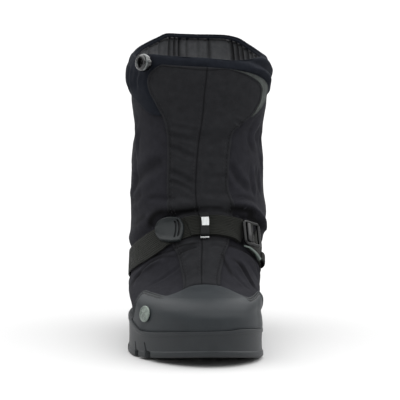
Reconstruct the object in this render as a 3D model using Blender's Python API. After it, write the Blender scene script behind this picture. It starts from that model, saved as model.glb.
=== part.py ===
"""A textile overshoe for the right foot: rubber outsole, nylon upper, toe cap, cuff, front flap and strap.

The frame: +Z up, toe towards -Y, the inner side of the foot towards +X, standing on Z = 0.
Sizes are millimetres, and become metres when a mesh is made. A place on the upper is named by its turn, in
degrees round the outline from the front (+ towards the inner side), and by its height above the tread.
"""

import math
from collections import namedtuple
from functools import lru_cache

import bmesh
import bpy
import numpy as np
from mathutils import Matrix, Vector

MM = 0.001

# ---------------------------------------------------------------- driving sizes
SOLE_LENGTH = 325.0
TOE_SPRING = 10.8
SPRING_START = -60.0
FOREFOOT_SKEW = 0.12
ARCH_SHIFT = 6.8
SIDE_SHIFT = -2.05  # brings the middle of the whole overshoe to X = 0
FLOOR_HEIGHT = 13.7
UPPER_BOTTOM = 14.0
UPPER_TOP = 288.0
WALL = 2.4
LAY = 0.6  # how far a piece lies off the one under it, which the facets share out
INSOLE_THICKNESS = 4.0
CAP_THICKNESS = 1.9
CAP_LAY = 1.05
WING_LIFT = 1.05  # how much further the cap's wings stand off
BAND_THICKNESS = 2.0
FLAP_THICKNESS = 1.3
TAPE_THICKNESS = 0.8
WEBBING_WIDTH = 22.0
WEBBING_THICKNESS = 1.2
TURN_STEP = 7.5

# One row for each height of the upper: where its outline starts at the front and ends at the back, how far the
# front point lies towards the inner side, how far the whole section does, and its half widths at 30 to 150
# degrees from the front to the back.
Section = namedtuple("Section", "z front back inward lean w30 w60 w90 w120 w150")
UPPER_SECTIONS = (
    Section(14, -156.0, 155.0, 5.0, 0.0, 37.0, 58.5, 49.5, 42.5, 31.5),
    Section(26, -158.0, 157.0, 5.0, 0.0, 37.5, 60.0, 51.0, 43.5, 33.0),
    Section(36, -157.5, 157.5, 5.0, -0.1, 38.0, 59.6, 52.8, 44.5, 33.5),
    Section(44, -153.5, 157.0, 5.0, -0.9, 39.0, 59.3, 56.0, 47.5, 34.5),
    Section(50, -147.0, 156.5, 5.0, -0.4, 39.4, 60.6, 59.2, 50.5, 35.5),
    Section(55, -138.0, 156.0, 5.0, 0.5, 38.0, 60.8, 61.2, 52.6, 36.3),
    Section(60, -122.0, 155.0, 5.0, 1.6, 32.5, 60.0, 61.8, 54.2, 37.0),
    Section(66, -98.0, 154.5, 4.5, 2.7, 29.0, 57.5, 62.8, 56.0, 37.5),
    Section(74, -80.0, 154.0, 3.5, 3.0, 29.5, 56.5, 63.6, 57.5, 38.0),
    Section(86, -63.0, 152.5, 3.0, 2.3, 31.5, 56.5, 64.0, 58.7, 38.3),
    Section(98, -48.0, 151.0, 2.0, 1.2, 33.0, 56.8, 65.0, 60.5, 38.5),
    Section(110, -36.5, 150.0, 1.5, 1.6, 34.0, 57.8, 66.2, 61.5, 38.5),
    Section(122, -29.0, 149.5, 1.0, 2.4, 34.5, 59.6, 67.2, 61.5, 38.5),
    Section(142, -22.5, 149.0, 0.5, 1.2, 36.0, 59.2, 65.4, 59.8, 38.5),
    Section(165, -17.0, 148.0, 0.0, 1.6, 36.5, 58.9, 65.4, 59.7, 38.0),
    Section(198, -10.0, 146.0, 0.0, 2.2, 36.0, 57.0, 63.0, 58.0, 36.5),
    Section(232, -6.0, 146.0, 0.0, 3.2, 37.0, 60.3, 67.2, 62.0, 38.3),
    Section(262, -7.0, 147.0, 0.0, 3.2, 38.0, 61.6, 67.9, 62.6, 39.4),
    Section(280, -6.0, 145.0, 0.0, 2.6, 37.5, 60.6, 66.6, 61.6, 38.5),
    Section(288, -4.0, 142.0, 0.0, 2.5, 36.5, 58.5, 64.5, 59.5, 37.0),
)
UPPER_LEVELS = (14, 24, 36, 43, 48, 51.5, 54.5, 57, 59.3, 61.8, 64.5, 67.5, 71, 78, 86, 94, 102, 110, 119,
                129, 142, 158, 178, 200, 222, 244, 262, 276, 288)
LINING_LEVELS = UPPER_LEVELS[:4] + UPPER_LEVELS[4::2]
SOLE_PLAN = Section(0, -SOLE_LENGTH / 2, SOLE_LENGTH / 2, 5.0, -0.6, 41.5, 65.0, 56.5, 49.0, 37.5)

# Side of the sole from the tread to the rim: the share of the rim's height, and how far the wall lies inside
# the plan there.
WallStep = namedtuple("WallStep", "share height inset")
SOLE_WALL = (
    WallStep(0.0, 0.0, 0.8),
    WallStep(0.0, 1.2, 0.0),
    WallStep(0.0, 5.2, 0.2),
    WallStep(0.0, 6.4, 1.2),
    WallStep(0.45, 3.0, 1.5),
    WallStep(1.0, -4.2, 1.2),
    WallStep(1.0, -3.4, 0.4),
    WallStep(1.0, -0.8, 0.4),
    WallStep(1.0, 0.0, 1.1),
)

# Values that change round the outline, by turn on either side of the front.
Turned = namedtuple("Turned", "turn value")
RIM_HEIGHT = (Turned(-180, 38.5), Turned(-120, 36.5), Turned(-75, 36.5), Turned(-60, 33.6), Turned(-54, 30.6),
              Turned(-49, 27.0), Turned(-44, 25.2), Turned(-30, 25.1), Turned(0, 25.2), Turned(15, 25.8),
              Turned(27, 27.8), Turned(45, 28.2), Turned(58, 27.4), Turned(66, 28.6), Turned(76, 32.5),
              Turned(88, 36.0), Turned(120, 36.5), Turned(180, 38.5))
CAP_TOP = (Turned(-60, 39.0), Turned(-57, 43.0), Turned(-54, 49.2), Turned(-51, 55.6), Turned(-48, 59.2),
           Turned(-42.5, 58.8), Turned(-36, 57.9), Turned(-31, 57.4), Turned(-27.5, 59.5), Turned(-20, 64.6),
           Turned(-12, 66.9), Turned(-2, 67.7), Turned(11, 66.6), Turned(21.5, 63.4), Turned(27.5, 59.9),
           Turned(34, 56.1), Turned(40, 57.0), Turned(46, 58.5), Turned(50, 59.4), Turned(53, 57.5),
           Turned(60, 49.5), Turned(67.5, 42.0), Turned(72, 38.8))
CAP_START = -60.0
CAP_END = 72.0
WING_TURNS = (-56.25, 56.25)  # more columns where the wings drop

# These two differ between the outer side (negative turns) and the inner side.
COLLAR_LIFT = (Turned(-180, 1.0), Turned(-168, 1.8), Turned(-157, 2.8), Turned(-147, -1.0), Turned(-130, -6.5),
               Turned(-108, -11.0), Turned(-85, -11.5), Turned(-60, -7.5), Turned(-40, -4.0), Turned(0, -5.5),
               Turned(32, -9.5), Turned(60, -9.5), Turned(85, -11.5), Turned(108, -12.5), Turned(121, -11.0),
               Turned(134, -7.0), Turned(148, -0.8), Turned(160, 1.0), Turned(180, 1.0))
BAND_BOTTOM = (Turned(-180, 238.0), Turned(-90, 241.0), Turned(-60, 234.0), Turned(-38, 224.0), Turned(0, 224.0),
               Turned(40, 228.0), Turned(75, 240.0), Turned(120, 238.0), Turned(180, 238.0))

# Edges of the front strip and flap: its turns on the outer and the inner side at each height.
FlapRow = namedtuple("FlapRow", "z outer inner")
FLAP_ROWS = (
    FlapRow(71, -24.0, 13.8), FlapRow(78, -23.2, 14.8), FlapRow(86, -22.4, 17.0), FlapRow(94, -22.4, 20.0),
    FlapRow(102, -25.8, 23.2), FlapRow(110, -26.3, 24.6), FlapRow(119, -25.8, 26.0), FlapRow(129, -25.2, 26.4),
    FlapRow(142, -25.5, 25.0), FlapRow(158, -25.5, 22.0), FlapRow(178, -25.5, 22.5), FlapRow(200, -26.0, 24.5),
    FlapRow(208, -26.0, 25.5), FlapRow(215, -26.5, 31.0), FlapRow(222, -28.5, 39.0), FlapRow(230, -32.0, 46.0),
    FlapRow(240, -36.5, 51.5), FlapRow(250, -40.5, 52.0), FlapRow(260, -42.0, 47.0), FlapRow(267, -40.5, 40.0),
    FlapRow(273, -36.5, 33.0), FlapRow(277, -32.5, 26.0), FlapRow(279.5, -28.5, 19.0),
)

TAPE_BOTTOM = 222.0
TAPE_TURNS = 9.5

# The strap's middle line, from the outer side of the sole over the instep to the inner side.
STRAP_LINE = (Turned(-132, 51.0), Turned(-112, 62.0), Turned(-90, 73.0), Turned(-72, 82.5), Turned(-58, 91.5),
              Turned(-42, 102.0), Turned(-30, 109.5), Turned(-18, 115.2), Turned(-4, 119.2), Turned(9, 119.4),
              Turned(21, 117.2), Turned(30, 114.0), Turned(40, 108.8), Turned(50, 102.5), Turned(62, 94.0),
              Turned(75, 85.0), Turned(90, 74.0), Turned(108, 63.0), Turned(132, 51.0))
BUCKLE_TURN = 42.0
STRAP_TURN = BUCKLE_TURN - 4.0
ANCHOR_START = BUCKLE_TURN + 6.5
RETURN_START = -10.8
KEEPER_START = -1.2
KEEPER_END = 5.4

# The pull tab from its tip to its bowed end over the strap: share of the way, height of its middle, half its height.
TabRow = namedtuple("TabRow", "share middle half")
TAB_ROWS = (
    TabRow(0.0, 112.4, 2.2), TabRow(0.06, 112.6, 5.2), TabRow(0.15, 113.0, 8.4), TabRow(0.36, 113.7, 11.1),
    TabRow(0.67, 114.6, 12.5), TabRow(0.88, 114.8, 12.1), TabRow(1.0, 114.8, 11.3),
)
TAB_TIP = -38.6
TAB_END = -14.0
TAB_BOW = 3.0
TAB_THICKNESS = 2.6

KEEPER_BAND = 1.6
BUCKLE_LENGTH = 25.0
BUCKLE_WIDTH = 25.5
BUCKLE_ROLL = 14.0  # how far the lock is turned from the strap's own line
BUCKLE_RISE = 1.0
BUCKLE_THICKNESS = 3.6
BUCKLE_BAR = 3.2
BUCKLE_RAIL = 2.2
BUCKLE_CORNER = 4.0

# Round trim, by its turn and height on the upper.
BADGE_TURN = -43.0
BADGE_HEIGHT = 42.0
BADGE_RADIUS = 8.0
BADGE_STRETCH = 1.2  # how much longer the badge is round the shoe than up it
BADGE_OUT = 0.6
LOCK_TURN = -44.5
LOCK_HEIGHT = 281.0
LOCK_OUT = 0.1

# The tread: a plain rib down the middle, side grooves at these places along the foot, and a recess at the arch.
LUG_DEPTH = 6.2
GROOVE_WIDTH = 5.0
RIB_HALF = 9.0
RIM_GAP = 0.85
OUTER_GROOVES = (-118.5, -97.5, -57.0, -38.0, -18.0, 75.0, 104.0, 131.0)
INNER_GROOVES = (-90.0, -68.0, -46.0, -24.0, 75.0, 104.0, 131.0)
GROOVE_SLANT = 8.0
ARCH_FRONT = -2.0
ARCH_BACK = 58.0
NOTCH_HEIGHT = 13.0
NOTCH_LEAN = 7.0


# ---------------------------------------------------------------- tables and curves
def ease(value):
    """0 below zero, 1 above one, smooth between them."""
    value = min(max(value, 0.0), 1.0)
    return value * value * (3.0 - 2.0 * value)


def tangents(places, values):
    """Slopes that keep a curve through a table from overshooting its rows."""
    steps = np.diff(places)
    rises = np.diff(values) / steps
    slopes = [rises[0]]
    for index in range(len(rises) - 1):
        before, after = rises[index], rises[index + 1]
        flat = before * after <= 0.0
        first = 2.0 * steps[index + 1] + steps[index]
        second = steps[index + 1] + 2.0 * steps[index]
        slopes.append(0.0 if flat else (first + second) / (first / before + second / after))
    slopes.append(rises[-1])
    return slopes


@lru_cache(maxsize=None)
def curve_of(rows, name):
    """Places, values and slopes of one column of a table."""
    places = [float(row[0]) for row in rows]
    values = [float(getattr(row, name)) for row in rows]
    return places, values, tangents(places, values)


def read(rows, name, place):
    """A column's value at a place between the table's rows."""
    places, values, slopes = curve_of(rows, name)
    index = int(np.searchsorted(places, place)) - 1
    index = min(max(index, 0), len(places) - 2)
    width = places[index + 1] - places[index]
    t = min(max((place - places[index]) / width, 0.0), 1.0)
    start = (2 * t ** 3 - 3 * t ** 2 + 1) * values[index] + (t ** 3 - 2 * t ** 2 + t) * width * slopes[index]
    end = (3 * t ** 2 - 2 * t ** 3) * values[index + 1] + (t ** 3 - t ** 2) * width * slopes[index + 1]
    return start + end


# ---------------------------------------------------------------- form of the last
def spring(y):
    """How far the toe lifts off the ground at a place along the foot."""
    ahead = max(SPRING_START - y, 0.0) / (SOLE_LENGTH / 2 + SPRING_START)
    return TOE_SPRING * ahead ** 2


@lru_cache(maxsize=None)
def section_at(z):
    """The upper's section at one height."""
    return Section(z, *(read(UPPER_SECTIONS, name, z) for name in Section._fields[1:]))


@lru_cache(maxsize=None)
def waves_of(section):
    """Sine waves whose sum runs through the half widths of a section."""
    widths = section[5:]
    count = len(widths) + 1
    terms = range(1, count)
    return [sum(2.0 / count * width * math.sin(math.pi * order * place / count)
                for place, width in zip(terms, widths)) for order in terms]


def outline(section, turn):
    """Point of a section's outline, flat, before the toe lifts."""
    angle = math.radians(turn)
    along = (1.0 - math.cos(angle)) / 2.0
    half = sum(wave * math.sin(order * angle) for order, wave in enumerate(waves_of(section), start=1))
    low = 1.0 - ease((section.z - 60.0) / 60.0)
    bend = section.inward * (1.0 - along) ** 3 - low * ARCH_SHIFT * math.sin(math.pi * along ** 0.8) ** 2
    skew = low * FOREFOOT_SKEW * (1.0 - ease((along - 0.3) / 0.4)) * half
    x = half + bend + section.lean + SIDE_SHIFT
    return x, section.front + (section.back - section.front) * along - skew


def on_face(turn, z):
    """Point of the upper's outer face."""
    x, y = outline(section_at(z), turn)
    lift = read(COLLAR_LIFT, "value", (turn + 180.0) % 360.0 - 180.0) * ease((z - 236.0) / (UPPER_TOP - 236.0))
    return Vector((x, y, z + spring(y) + lift))


def away_from(turn, z):
    """Direction that points off the upper's outer face."""
    round_step = on_face(turn + 0.4, z) - on_face(turn - 0.4, z)
    low, high = max(z - 0.4, UPPER_BOTTOM), min(z + 0.4, UPPER_TOP)
    rise_step = on_face(turn, high) - on_face(turn, low)
    return round_step.cross(rise_step).normalized()


def on_upper(turn, z, out=0.0):
    """Point that lies a distance off the upper's outer face."""
    point = on_face(turn, z) + away_from(turn, z) * out
    if z in (UPPER_BOTTOM, UPPER_TOP):
        point.z = on_face(turn, z).z
    return point


def on_sole(turn, z, inset):
    """Point of the sole's side, a distance inside its plan."""
    here = Vector(outline(SOLE_PLAN, turn))
    step = Vector(outline(SOLE_PLAN, turn + 0.4)) - Vector(outline(SOLE_PLAN, turn - 0.4))
    inward = Vector((-step.y, step.x)).normalized()
    x, y = here + inward * inset
    return Vector((x, y, z + spring(y)))


def rim_height(turn):
    return read(RIM_HEIGHT, "value", (turn + 180.0) % 360.0 - 180.0)


# ---------------------------------------------------------------- meshes
def turns_round():
    return [index * TURN_STEP - 180.0 for index in range(round(360.0 / TURN_STEP))]


def turns_between(start, end):
    """The lattice's turns between two edges, with the edges themselves."""
    inside = [turn for turn in turns_round() if start + 1.5 < turn < end - 1.5]
    return [start, *inside, end]


def solid(name, points, faces, material):
    """One named object from points in millimetres, with its faces pointing out."""
    mesh = bpy.data.meshes.new(name)
    mesh.from_pydata([tuple(coordinate * MM for coordinate in point) for point in points], [], faces)
    shell = bmesh.new()
    shell.from_mesh(mesh)
    bmesh.ops.recalc_face_normals(shell, faces=shell.faces)
    shell.to_mesh(mesh)
    shell.free()
    mesh.shade_smooth()
    mesh.set_sharp_from_angle(angle=math.radians(38.0))
    mesh.materials.append(material)
    piece = bpy.data.objects.new(name, mesh)
    bpy.context.scene.collection.objects.link(piece)
    return piece


def ring_faces(rings, count, close):
    """Quads between neighbouring rings, and from the last ring to the first where the form closes on itself."""
    faces = []
    for ring in range(rings if close else rings - 1):
        here, there = ring * count, (ring + 1) % rings * count
        for index in range(count):
            after = (index + 1) % count
            faces.append((here + index, here + after, there + after, there + index))
    return faces


def hoop(name, rings, material):
    """A closed shell that is open in the middle, from rings that go up outside and down inside."""
    count = len(rings[0])
    points = [point for ring in rings for point in ring]
    return solid(name, points, ring_faces(len(rings), count, True), material)


def cap_faces(start, count):
    """Strips across a ring, from its outer to its inner side."""
    faces = [(start, start + 1, start + count - 1)]
    for index in range(1, count // 2 - 1):
        other = count - index
        faces.append((start + index, start + index + 1, start + other - 1, start + other))
    faces.append((start + count // 2 - 1, start + count // 2, start + count // 2 + 1))
    return faces


def drum(name, rings, material):
    """A filled form whose first and last rings are closed by strips."""
    count = len(rings[0])
    points = [point for ring in rings for point in ring]
    faces = ring_faces(len(rings), count, False)
    faces += cap_faces(0, count) + cap_faces((len(rings) - 1) * count, count)
    return solid(name, points, faces, material)


def sheet(name, under, over, material):
    """A sheet with thickness between two grids of points of the same size."""
    rows, columns = len(under), len(under[0])
    points = [point for row in under for point in row] + [point for row in over for point in row]
    top = rows * columns
    faces = []
    for row in range(rows - 1):
        for column in range(columns - 1):
            here = row * columns + column
            cell = (here, here + 1, here + columns + 1, here + columns)
            faces += [cell, tuple(top + index for index in cell)]
    edge = [(0, column) for column in range(columns)]
    edge += [(row, columns - 1) for row in range(1, rows)]
    edge += [(rows - 1, column) for column in range(columns - 2, -1, -1)]
    edge += [(row, 0) for row in range(rows - 2, 0, -1)]
    loop = [row * columns + column for row, column in edge]
    for here, there in zip(loop, loop[1:] + loop[:1]):
        faces.append((here, there, top + there, top + here))
    return solid(name, points, faces, material)


def laid(name, places, under, thickness, material):
    """A sheet laid over the upper; places is a grid of turn and height, under gives its distance off the face."""
    below = [[on_upper(turn, z, under(turn, z)) for turn, z in row] for row in places]
    above = [[on_upper(turn, z, under(turn, z) + thickness) for turn, z in row] for row in places]
    return sheet(name, below, above, material)


def paint(name, color, roughness, metallic=0.0):
    material = bpy.data.materials.new(name)
    material.use_nodes = True
    shader = material.node_tree.nodes["Principled BSDF"]
    shader.inputs["Base Color"].default_value = (*color, 1.0)
    shader.inputs["Roughness"].default_value = roughness
    shader.inputs["Metallic"].default_value = metallic
    return material


def cut(piece, cutter):
    """Take a cutter's shape out of a piece."""
    cutter.hide_render = True
    cutter.display_type = "WIRE"
    modifier = piece.modifiers.new(cutter.name, "BOOLEAN")
    modifier.operation = "DIFFERENCE"
    modifier.object = cutter


def seat(turn, z, out, roll=0.0):
    """Axes of a small piece on the upper: X round the shoe, Y up the face, Z away from it."""
    away = away_from(turn, z)
    along = on_face(turn + 0.4, z) - on_face(turn - 0.4, z)
    along = (along - away * along.dot(away)).normalized()
    axes = Matrix((along, away.cross(along), away)).transposed().to_4x4()
    axes.translation = on_upper(turn, z, out) * MM
    return axes @ Matrix.Rotation(roll, 4, "Z")


# ---------------------------------------------------------------- sole
def build_sole(material):
    turns = turns_round()
    rings = []
    for step in SOLE_WALL:
        rings.append([on_sole(turn, step.share * rim_height(turn) + step.height, step.inset) for turn in turns])
    for share in (1.0, 0.6, 0.3, 0.0):
        ring = []
        for turn in turns:
            z = FLOOR_HEIGHT + (rim_height(turn) - FLOOR_HEIGHT) * share
            point = on_upper(turn, max(z, UPPER_BOTTOM), LAY)
            ring.append(Vector((point.x, point.y, z + spring(point.y))))
        rings.append(ring)
    sole = drum("outsole", rings, material)
    cut(sole, build_tread_cutter())
    cut(sole, build_notch_cutter())
    return sole


def wedge(points, faces, middle, half_length, bottom, top, height, heading, lean=0.0):
    """Add one groove's shape: wide where it opens at the tread and narrower where it ends."""
    start = len(points)
    along = Vector((math.cos(heading), math.sin(heading), 0.0))
    across = Vector((-along.y, along.x, 0.0))
    for z, half, back in ((-1.5, bottom / 2, 0.0), (height, top / 2, lean)):
        for end, side in ((-1, -1), (1, -1), (1, 1), (-1, 1)):
            corner = Vector(middle) + along * end * half_length + across * side * half
            points.append(Vector((corner.x, corner.y + back, corner.z + z)))
    quads = ((0, 3, 2, 1), (4, 5, 6, 7), (0, 1, 5, 4), (1, 2, 6, 5), (2, 3, 7, 6), (3, 0, 4, 7))
    faces += [tuple(start + index for index in quad) for quad in quads]


def side_x(y, side):
    """Where the sole's plan crosses a place along the foot, on one side."""
    span = [outline(SOLE_PLAN, side * (6.0 + step)) for step in range(168)]
    return min(span, key=lambda place: abs(place[1] - y))[0]


def build_tread_cutter():
    points, faces = [], []
    for side, grooves in ((-1, OUTER_GROOVES), (1, INNER_GROOVES)):
        for y in grooves:
            edge = abs(side_x(y, side))
            half = (edge - RIB_HALF) / 2 + 6.0
            x = side * (RIB_HALF + half)
            heading = math.radians(-side * GROOVE_SLANT)
            slide = half * math.sin(math.radians(GROOVE_SLANT))
            wedge(points, faces, (x, y + slide, spring(y)), half, GROOVE_WIDTH + 1.0, GROOVE_WIDTH - 1.5,
                  LUG_DEPTH, heading)
    middle = (ARCH_FRONT + ARCH_BACK) / 2
    length = ARCH_BACK - ARCH_FRONT
    wedge(points, faces, (0.0, middle, 0.0), 90.0, length, length - 14.0, LUG_DEPTH, 0.0)
    return solid("tread_cutter", points, faces, None)


def build_notch_cutter():
    """Notches where the side grooves come out and climb the wall."""
    points, faces = [], []
    for side, grooves in ((-1, OUTER_GROOVES), (1, INNER_GROOVES)):
        for y in grooves:
            x = side_x(y, side)
            wedge(points, faces, (x + side * 3.0, y, spring(y)), 6.0, GROOVE_WIDTH + 1.5, 2.0, NOTCH_HEIGHT,
                  0.0, NOTCH_LEAN)
    return solid("notch_cutter", points, faces, None)


# ---------------------------------------------------------------- upper and insole
def build_upper(material):
    turns = turns_round()
    outside = [[on_upper(turn, float(z)) for turn in turns] for z in UPPER_LEVELS]
    inside = [[on_upper(turn, float(z), -WALL) for turn in turns] for z in reversed(LINING_LEVELS)]
    return hoop("upper", outside + inside, material)


def build_insole(material):
    rings = []
    for z in (UPPER_BOTTOM, UPPER_BOTTOM + INSOLE_THICKNESS):
        ring = []
        for turn in turns_round():
            point = on_upper(turn, z + 0.01, -WALL - LAY)
            ring.append(Vector((point.x, point.y, z + spring(point.y))))
        rings.append(ring)
    return drum("insole", rings, material)


# ---------------------------------------------------------------- pieces laid over the upper
def cap_bottom(turn):
    """Height of the cap's lower edge, just over the sole's rim, before the toe lifts."""
    rim = rim_height(turn)
    return rim + RIM_GAP + spring(on_sole(turn, rim, 0.0).y) - spring(on_face(turn, rim).y)


def cap_lay(turn):
    """How far the cap stands off the upper."""
    return CAP_LAY + WING_LIFT * ease((abs(turn) - 43.0) / 7.0)


def build_cap(material):
    turns = sorted([*turns_between(CAP_START, CAP_END), *WING_TURNS])
    shares = (0.0, 0.22, 0.40, 0.52, 0.61, 0.68, 0.74, 0.80, 0.86, 0.93, 1.0)
    places = []
    for share in shares:
        row = []
        for turn in turns:
            low, high = cap_bottom(turn), read(CAP_TOP, "value", turn)
            row.append((turn, low + (high - low) * share))
        places.append(row)
    return laid("toe_cap", places, lambda turn, z: cap_lay(turn), CAP_THICKNESS, material)


def band_bottom(turn):
    return read(BAND_BOTTOM, "value", turn)


def build_band(material):
    turns = turns_round()
    shares = (0.0, 0.45, 0.75, 1.0)
    rings = []
    for out, order in ((BAND_THICKNESS, shares), (0.0, tuple(reversed(shares)))):
        for share in order:
            rings.append([on_upper(turn, band_bottom(turn) + (UPPER_TOP - band_bottom(turn)) * share, LAY + out)
                          for turn in turns])
    return hoop("collar_band", rings, material)


def over_band(turn, z):
    """Distance off the upper that clears the collar band."""
    return LAY + (BAND_THICKNESS + LAY + 0.35) * ease((z - band_bottom(turn) + 22.0) / 12.0)


def flap_edges(z):
    return read(FLAP_ROWS, "outer", z), read(FLAP_ROWS, "inner", z)


def build_flap(material):
    columns = 13
    places = []
    for row in FLAP_ROWS:
        places.append([(row.outer + (row.inner - row.outer) * step / columns, float(row.z))
                       for step in range(columns + 1)])
    return laid("front_flap", places, over_band, FLAP_THICKNESS, material)


def build_tape(material):
    """Crescent of loop tape that shows along the flap's inner edge."""
    places = []
    for row in FLAP_ROWS:
        if row.z >= TAPE_BOTTOM:
            share = (row.z - TAPE_BOTTOM) / (FLAP_ROWS[-1].z - TAPE_BOTTOM)
            width = 1.2 + TAPE_TURNS * math.sin(math.pi * min(max(share, 0.0), 1.0)) ** 0.8
            places.append([(row.inner + 1.3 + width * step / 2.0, float(row.z)) for step in range(3)])
    return laid("loop_tape", places, over_band, TAPE_THICKNESS, material)


def over_flap(turn, z):
    """Distance off the upper that clears the front strip below the flap."""
    outer, inner = flap_edges(z)
    covered = ease((turn - outer + 12.0) / 10.0) * ease((inner + 12.0 - turn) / 10.0)
    return LAY + (FLAP_THICKNESS + LAY) * covered


# ---------------------------------------------------------------- strap and buckle
def strap_middle(turn):
    return read(STRAP_LINE, "value", turn)


def strap_place(turn, across):
    """Turn and height of a point beside the strap's middle line."""
    z = strap_middle(turn)
    step = on_face(turn + 1.0, strap_middle(turn + 1.0)) - on_face(turn - 1.0, strap_middle(turn - 1.0))
    side = away_from(turn, z).cross(step.normalized())
    round_step = on_face(turn + 1.0, z) - on_face(turn - 1.0, z)
    return turn + 2.0 * side.dot(round_step) / round_step.length_squared * across, z + side.z * across


def build_webbing(name, start, end, layer, material):
    """A length of the strap; layer counts the layers of webbing under it."""
    count = max(round((end - start) / 4.0), 2)
    places = []
    for step in range(4):
        across = (step / 3.0 - 0.5) * WEBBING_WIDTH
        places.append([strap_place(start + (end - start) * index / count, across) for index in range(count + 1)])
    rise = layer * (WEBBING_THICKNESS + LAY)
    return laid(name, places, lambda turn, z: over_flap(turn, z) + rise, WEBBING_THICKNESS, material)


def build_tab(material):
    """Rubber pull tab at the strap's end: an egg in outline, bowed out where it meets the strap."""
    columns = 9
    places = []
    for step in range(7):
        side = step / 6.0 * 2.0 - 1.0
        end = TAB_END - TAB_BOW * side ** 2
        row = []
        for index in range(columns + 1):
            share = (1.0 - index / columns) ** 1.4
            height = read(TAB_ROWS, "middle", share) + side * read(TAB_ROWS, "half", share)
            row.append((TAB_TIP + (end - TAB_TIP) * share, height))
        places.append(row)
    rise = WEBBING_THICKNESS + LAY
    return laid("strap_tab", places, lambda turn, z: over_flap(turn, z) + rise, TAB_THICKNESS, material)


def build_keeper(material):
    """A staple over both layers of webbing that stands on the front strip."""
    half = WEBBING_WIDTH / 2 + 0.6
    top = 2 * (WEBBING_THICKNESS + LAY) + 0.2
    wide, high = half + KEEPER_BAND, top + KEEPER_BAND
    section = ((-wide, 0.0), (-wide, high), (wide, high), (wide, 0.0),
               (half, 0.0), (half, top), (-half, top), (-half, 0.0))
    rings = []
    for step in range(4):
        turn = KEEPER_START + (KEEPER_END - KEEPER_START) * step / 3.0
        ring = []
        for across, out in section:
            place = strap_place(turn, across)
            ring.append(on_upper(*place, over_flap(*place) + out))
        rings.append(ring)
    count = len(section)
    points = [point for ring in rings for point in ring]
    faces = ring_faces(len(rings), count, False)
    for start in (0, (len(rings) - 1) * count):
        faces += [tuple(start + index for index in quad) for quad in ((0, 1, 6, 7), (1, 2, 5, 6), (2, 3, 4, 5))]
    return solid("strap_keeper", points, faces, material)


def box(points, faces, low, high):
    """Add a plain block between two corners."""
    start = len(points)
    for z in (low[2], high[2]):
        points += [(low[0], low[1], z), (high[0], low[1], z), (high[0], high[1], z), (low[0], high[1], z)]
    quads = ((0, 3, 2, 1), (4, 5, 6, 7), (0, 1, 5, 4), (1, 2, 6, 5), (2, 3, 7, 6), (3, 0, 4, 7))
    faces += [tuple(start + index for index in quad) for quad in quads]


def build_buckle(material):
    """Ladder lock: a rounded frame with two windows."""
    rings = []
    for height, inset in ((0.0, 0.6), (0.8, 0.0), (BUCKLE_THICKNESS - 0.9, 0.0), (BUCKLE_THICKNESS, 0.9)):
        ring = []
        for corner in range(4):
            for step in range(4):
                angle = math.radians(90.0 * corner + 30.0 * step)
                radius = BUCKLE_CORNER - inset
                x, y = BUCKLE_LENGTH / 2 - BUCKLE_CORNER, BUCKLE_WIDTH / 2 - BUCKLE_CORNER
                x = math.copysign(x, math.cos(math.radians(45.0 + 90.0 * corner)))
                y = math.copysign(y, math.sin(math.radians(45.0 + 90.0 * corner)))
                ring.append((x + radius * math.cos(angle), y + radius * math.sin(angle), height))
        rings.append(ring)
    buckle = drum("ladder_lock", rings, material)
    points, faces = [], []
    window = (BUCKLE_LENGTH - 3 * BUCKLE_BAR) / 2
    for start in (-BUCKLE_LENGTH / 2 + BUCKLE_BAR, BUCKLE_BAR / 2):
        half = BUCKLE_WIDTH / 2 - BUCKLE_RAIL
        box(points, faces, (start, -half, -2.0), (start + window, half, BUCKLE_THICKNESS + 2.0))
    windows = solid("buckle_windows", points, faces, None)
    rise = 2 * (WEBBING_THICKNESS + LAY)
    z = strap_middle(BUCKLE_TURN)
    before, after = BUCKLE_TURN - 4.0, BUCKLE_TURN + 4.0
    slope = on_face(after, strap_middle(after)) - on_face(before, strap_middle(before))
    roll = math.atan2(slope.z, math.hypot(slope.x, slope.y)) + math.radians(BUCKLE_ROLL)
    buckle.matrix_world = seat(BUCKLE_TURN, z, LAY + rise + BUCKLE_RISE, roll)
    windows.matrix_world = buckle.matrix_world.copy()
    cut(buckle, windows)
    return buckle


# ---------------------------------------------------------------- small trim
def turned(name, profile, sides, material, stretch=1.0):
    """A round piece from a profile of radius and height."""
    rings = []
    for radius, height in profile:
        angles = [2 * math.pi * step / sides for step in range(sides)]
        rings.append([(radius * stretch * math.cos(angle), radius * math.sin(angle), height) for angle in angles])
    return drum(name, rings, material)


def build_badge(material):
    profile = ((BADGE_RADIUS - 0.4, 0.0), (BADGE_RADIUS, 0.3), (BADGE_RADIUS, 0.9), (BADGE_RADIUS - 0.7, 1.5))
    badge = turned("badge_disc", profile, 24, material, BADGE_STRETCH)
    badge.matrix_world = seat(BADGE_TURN, BADGE_HEIGHT, CAP_LAY + CAP_THICKNESS + BADGE_OUT)
    return badge


def build_cord_lock(material):
    """Round body of the cord lock, which stands on the collar band."""
    profile = ((7.0, 0.0), (8.5, 1.5), (9.0, 4.8), (8.6, 8.6), (6.9, 10.3), (4.0, 11.0))
    lock = turned("cord_lock", profile, 20, material)
    lock.matrix_world = seat(LOCK_TURN, LOCK_HEIGHT, LAY + BAND_THICKNESS + LOCK_OUT)
    return lock


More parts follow.
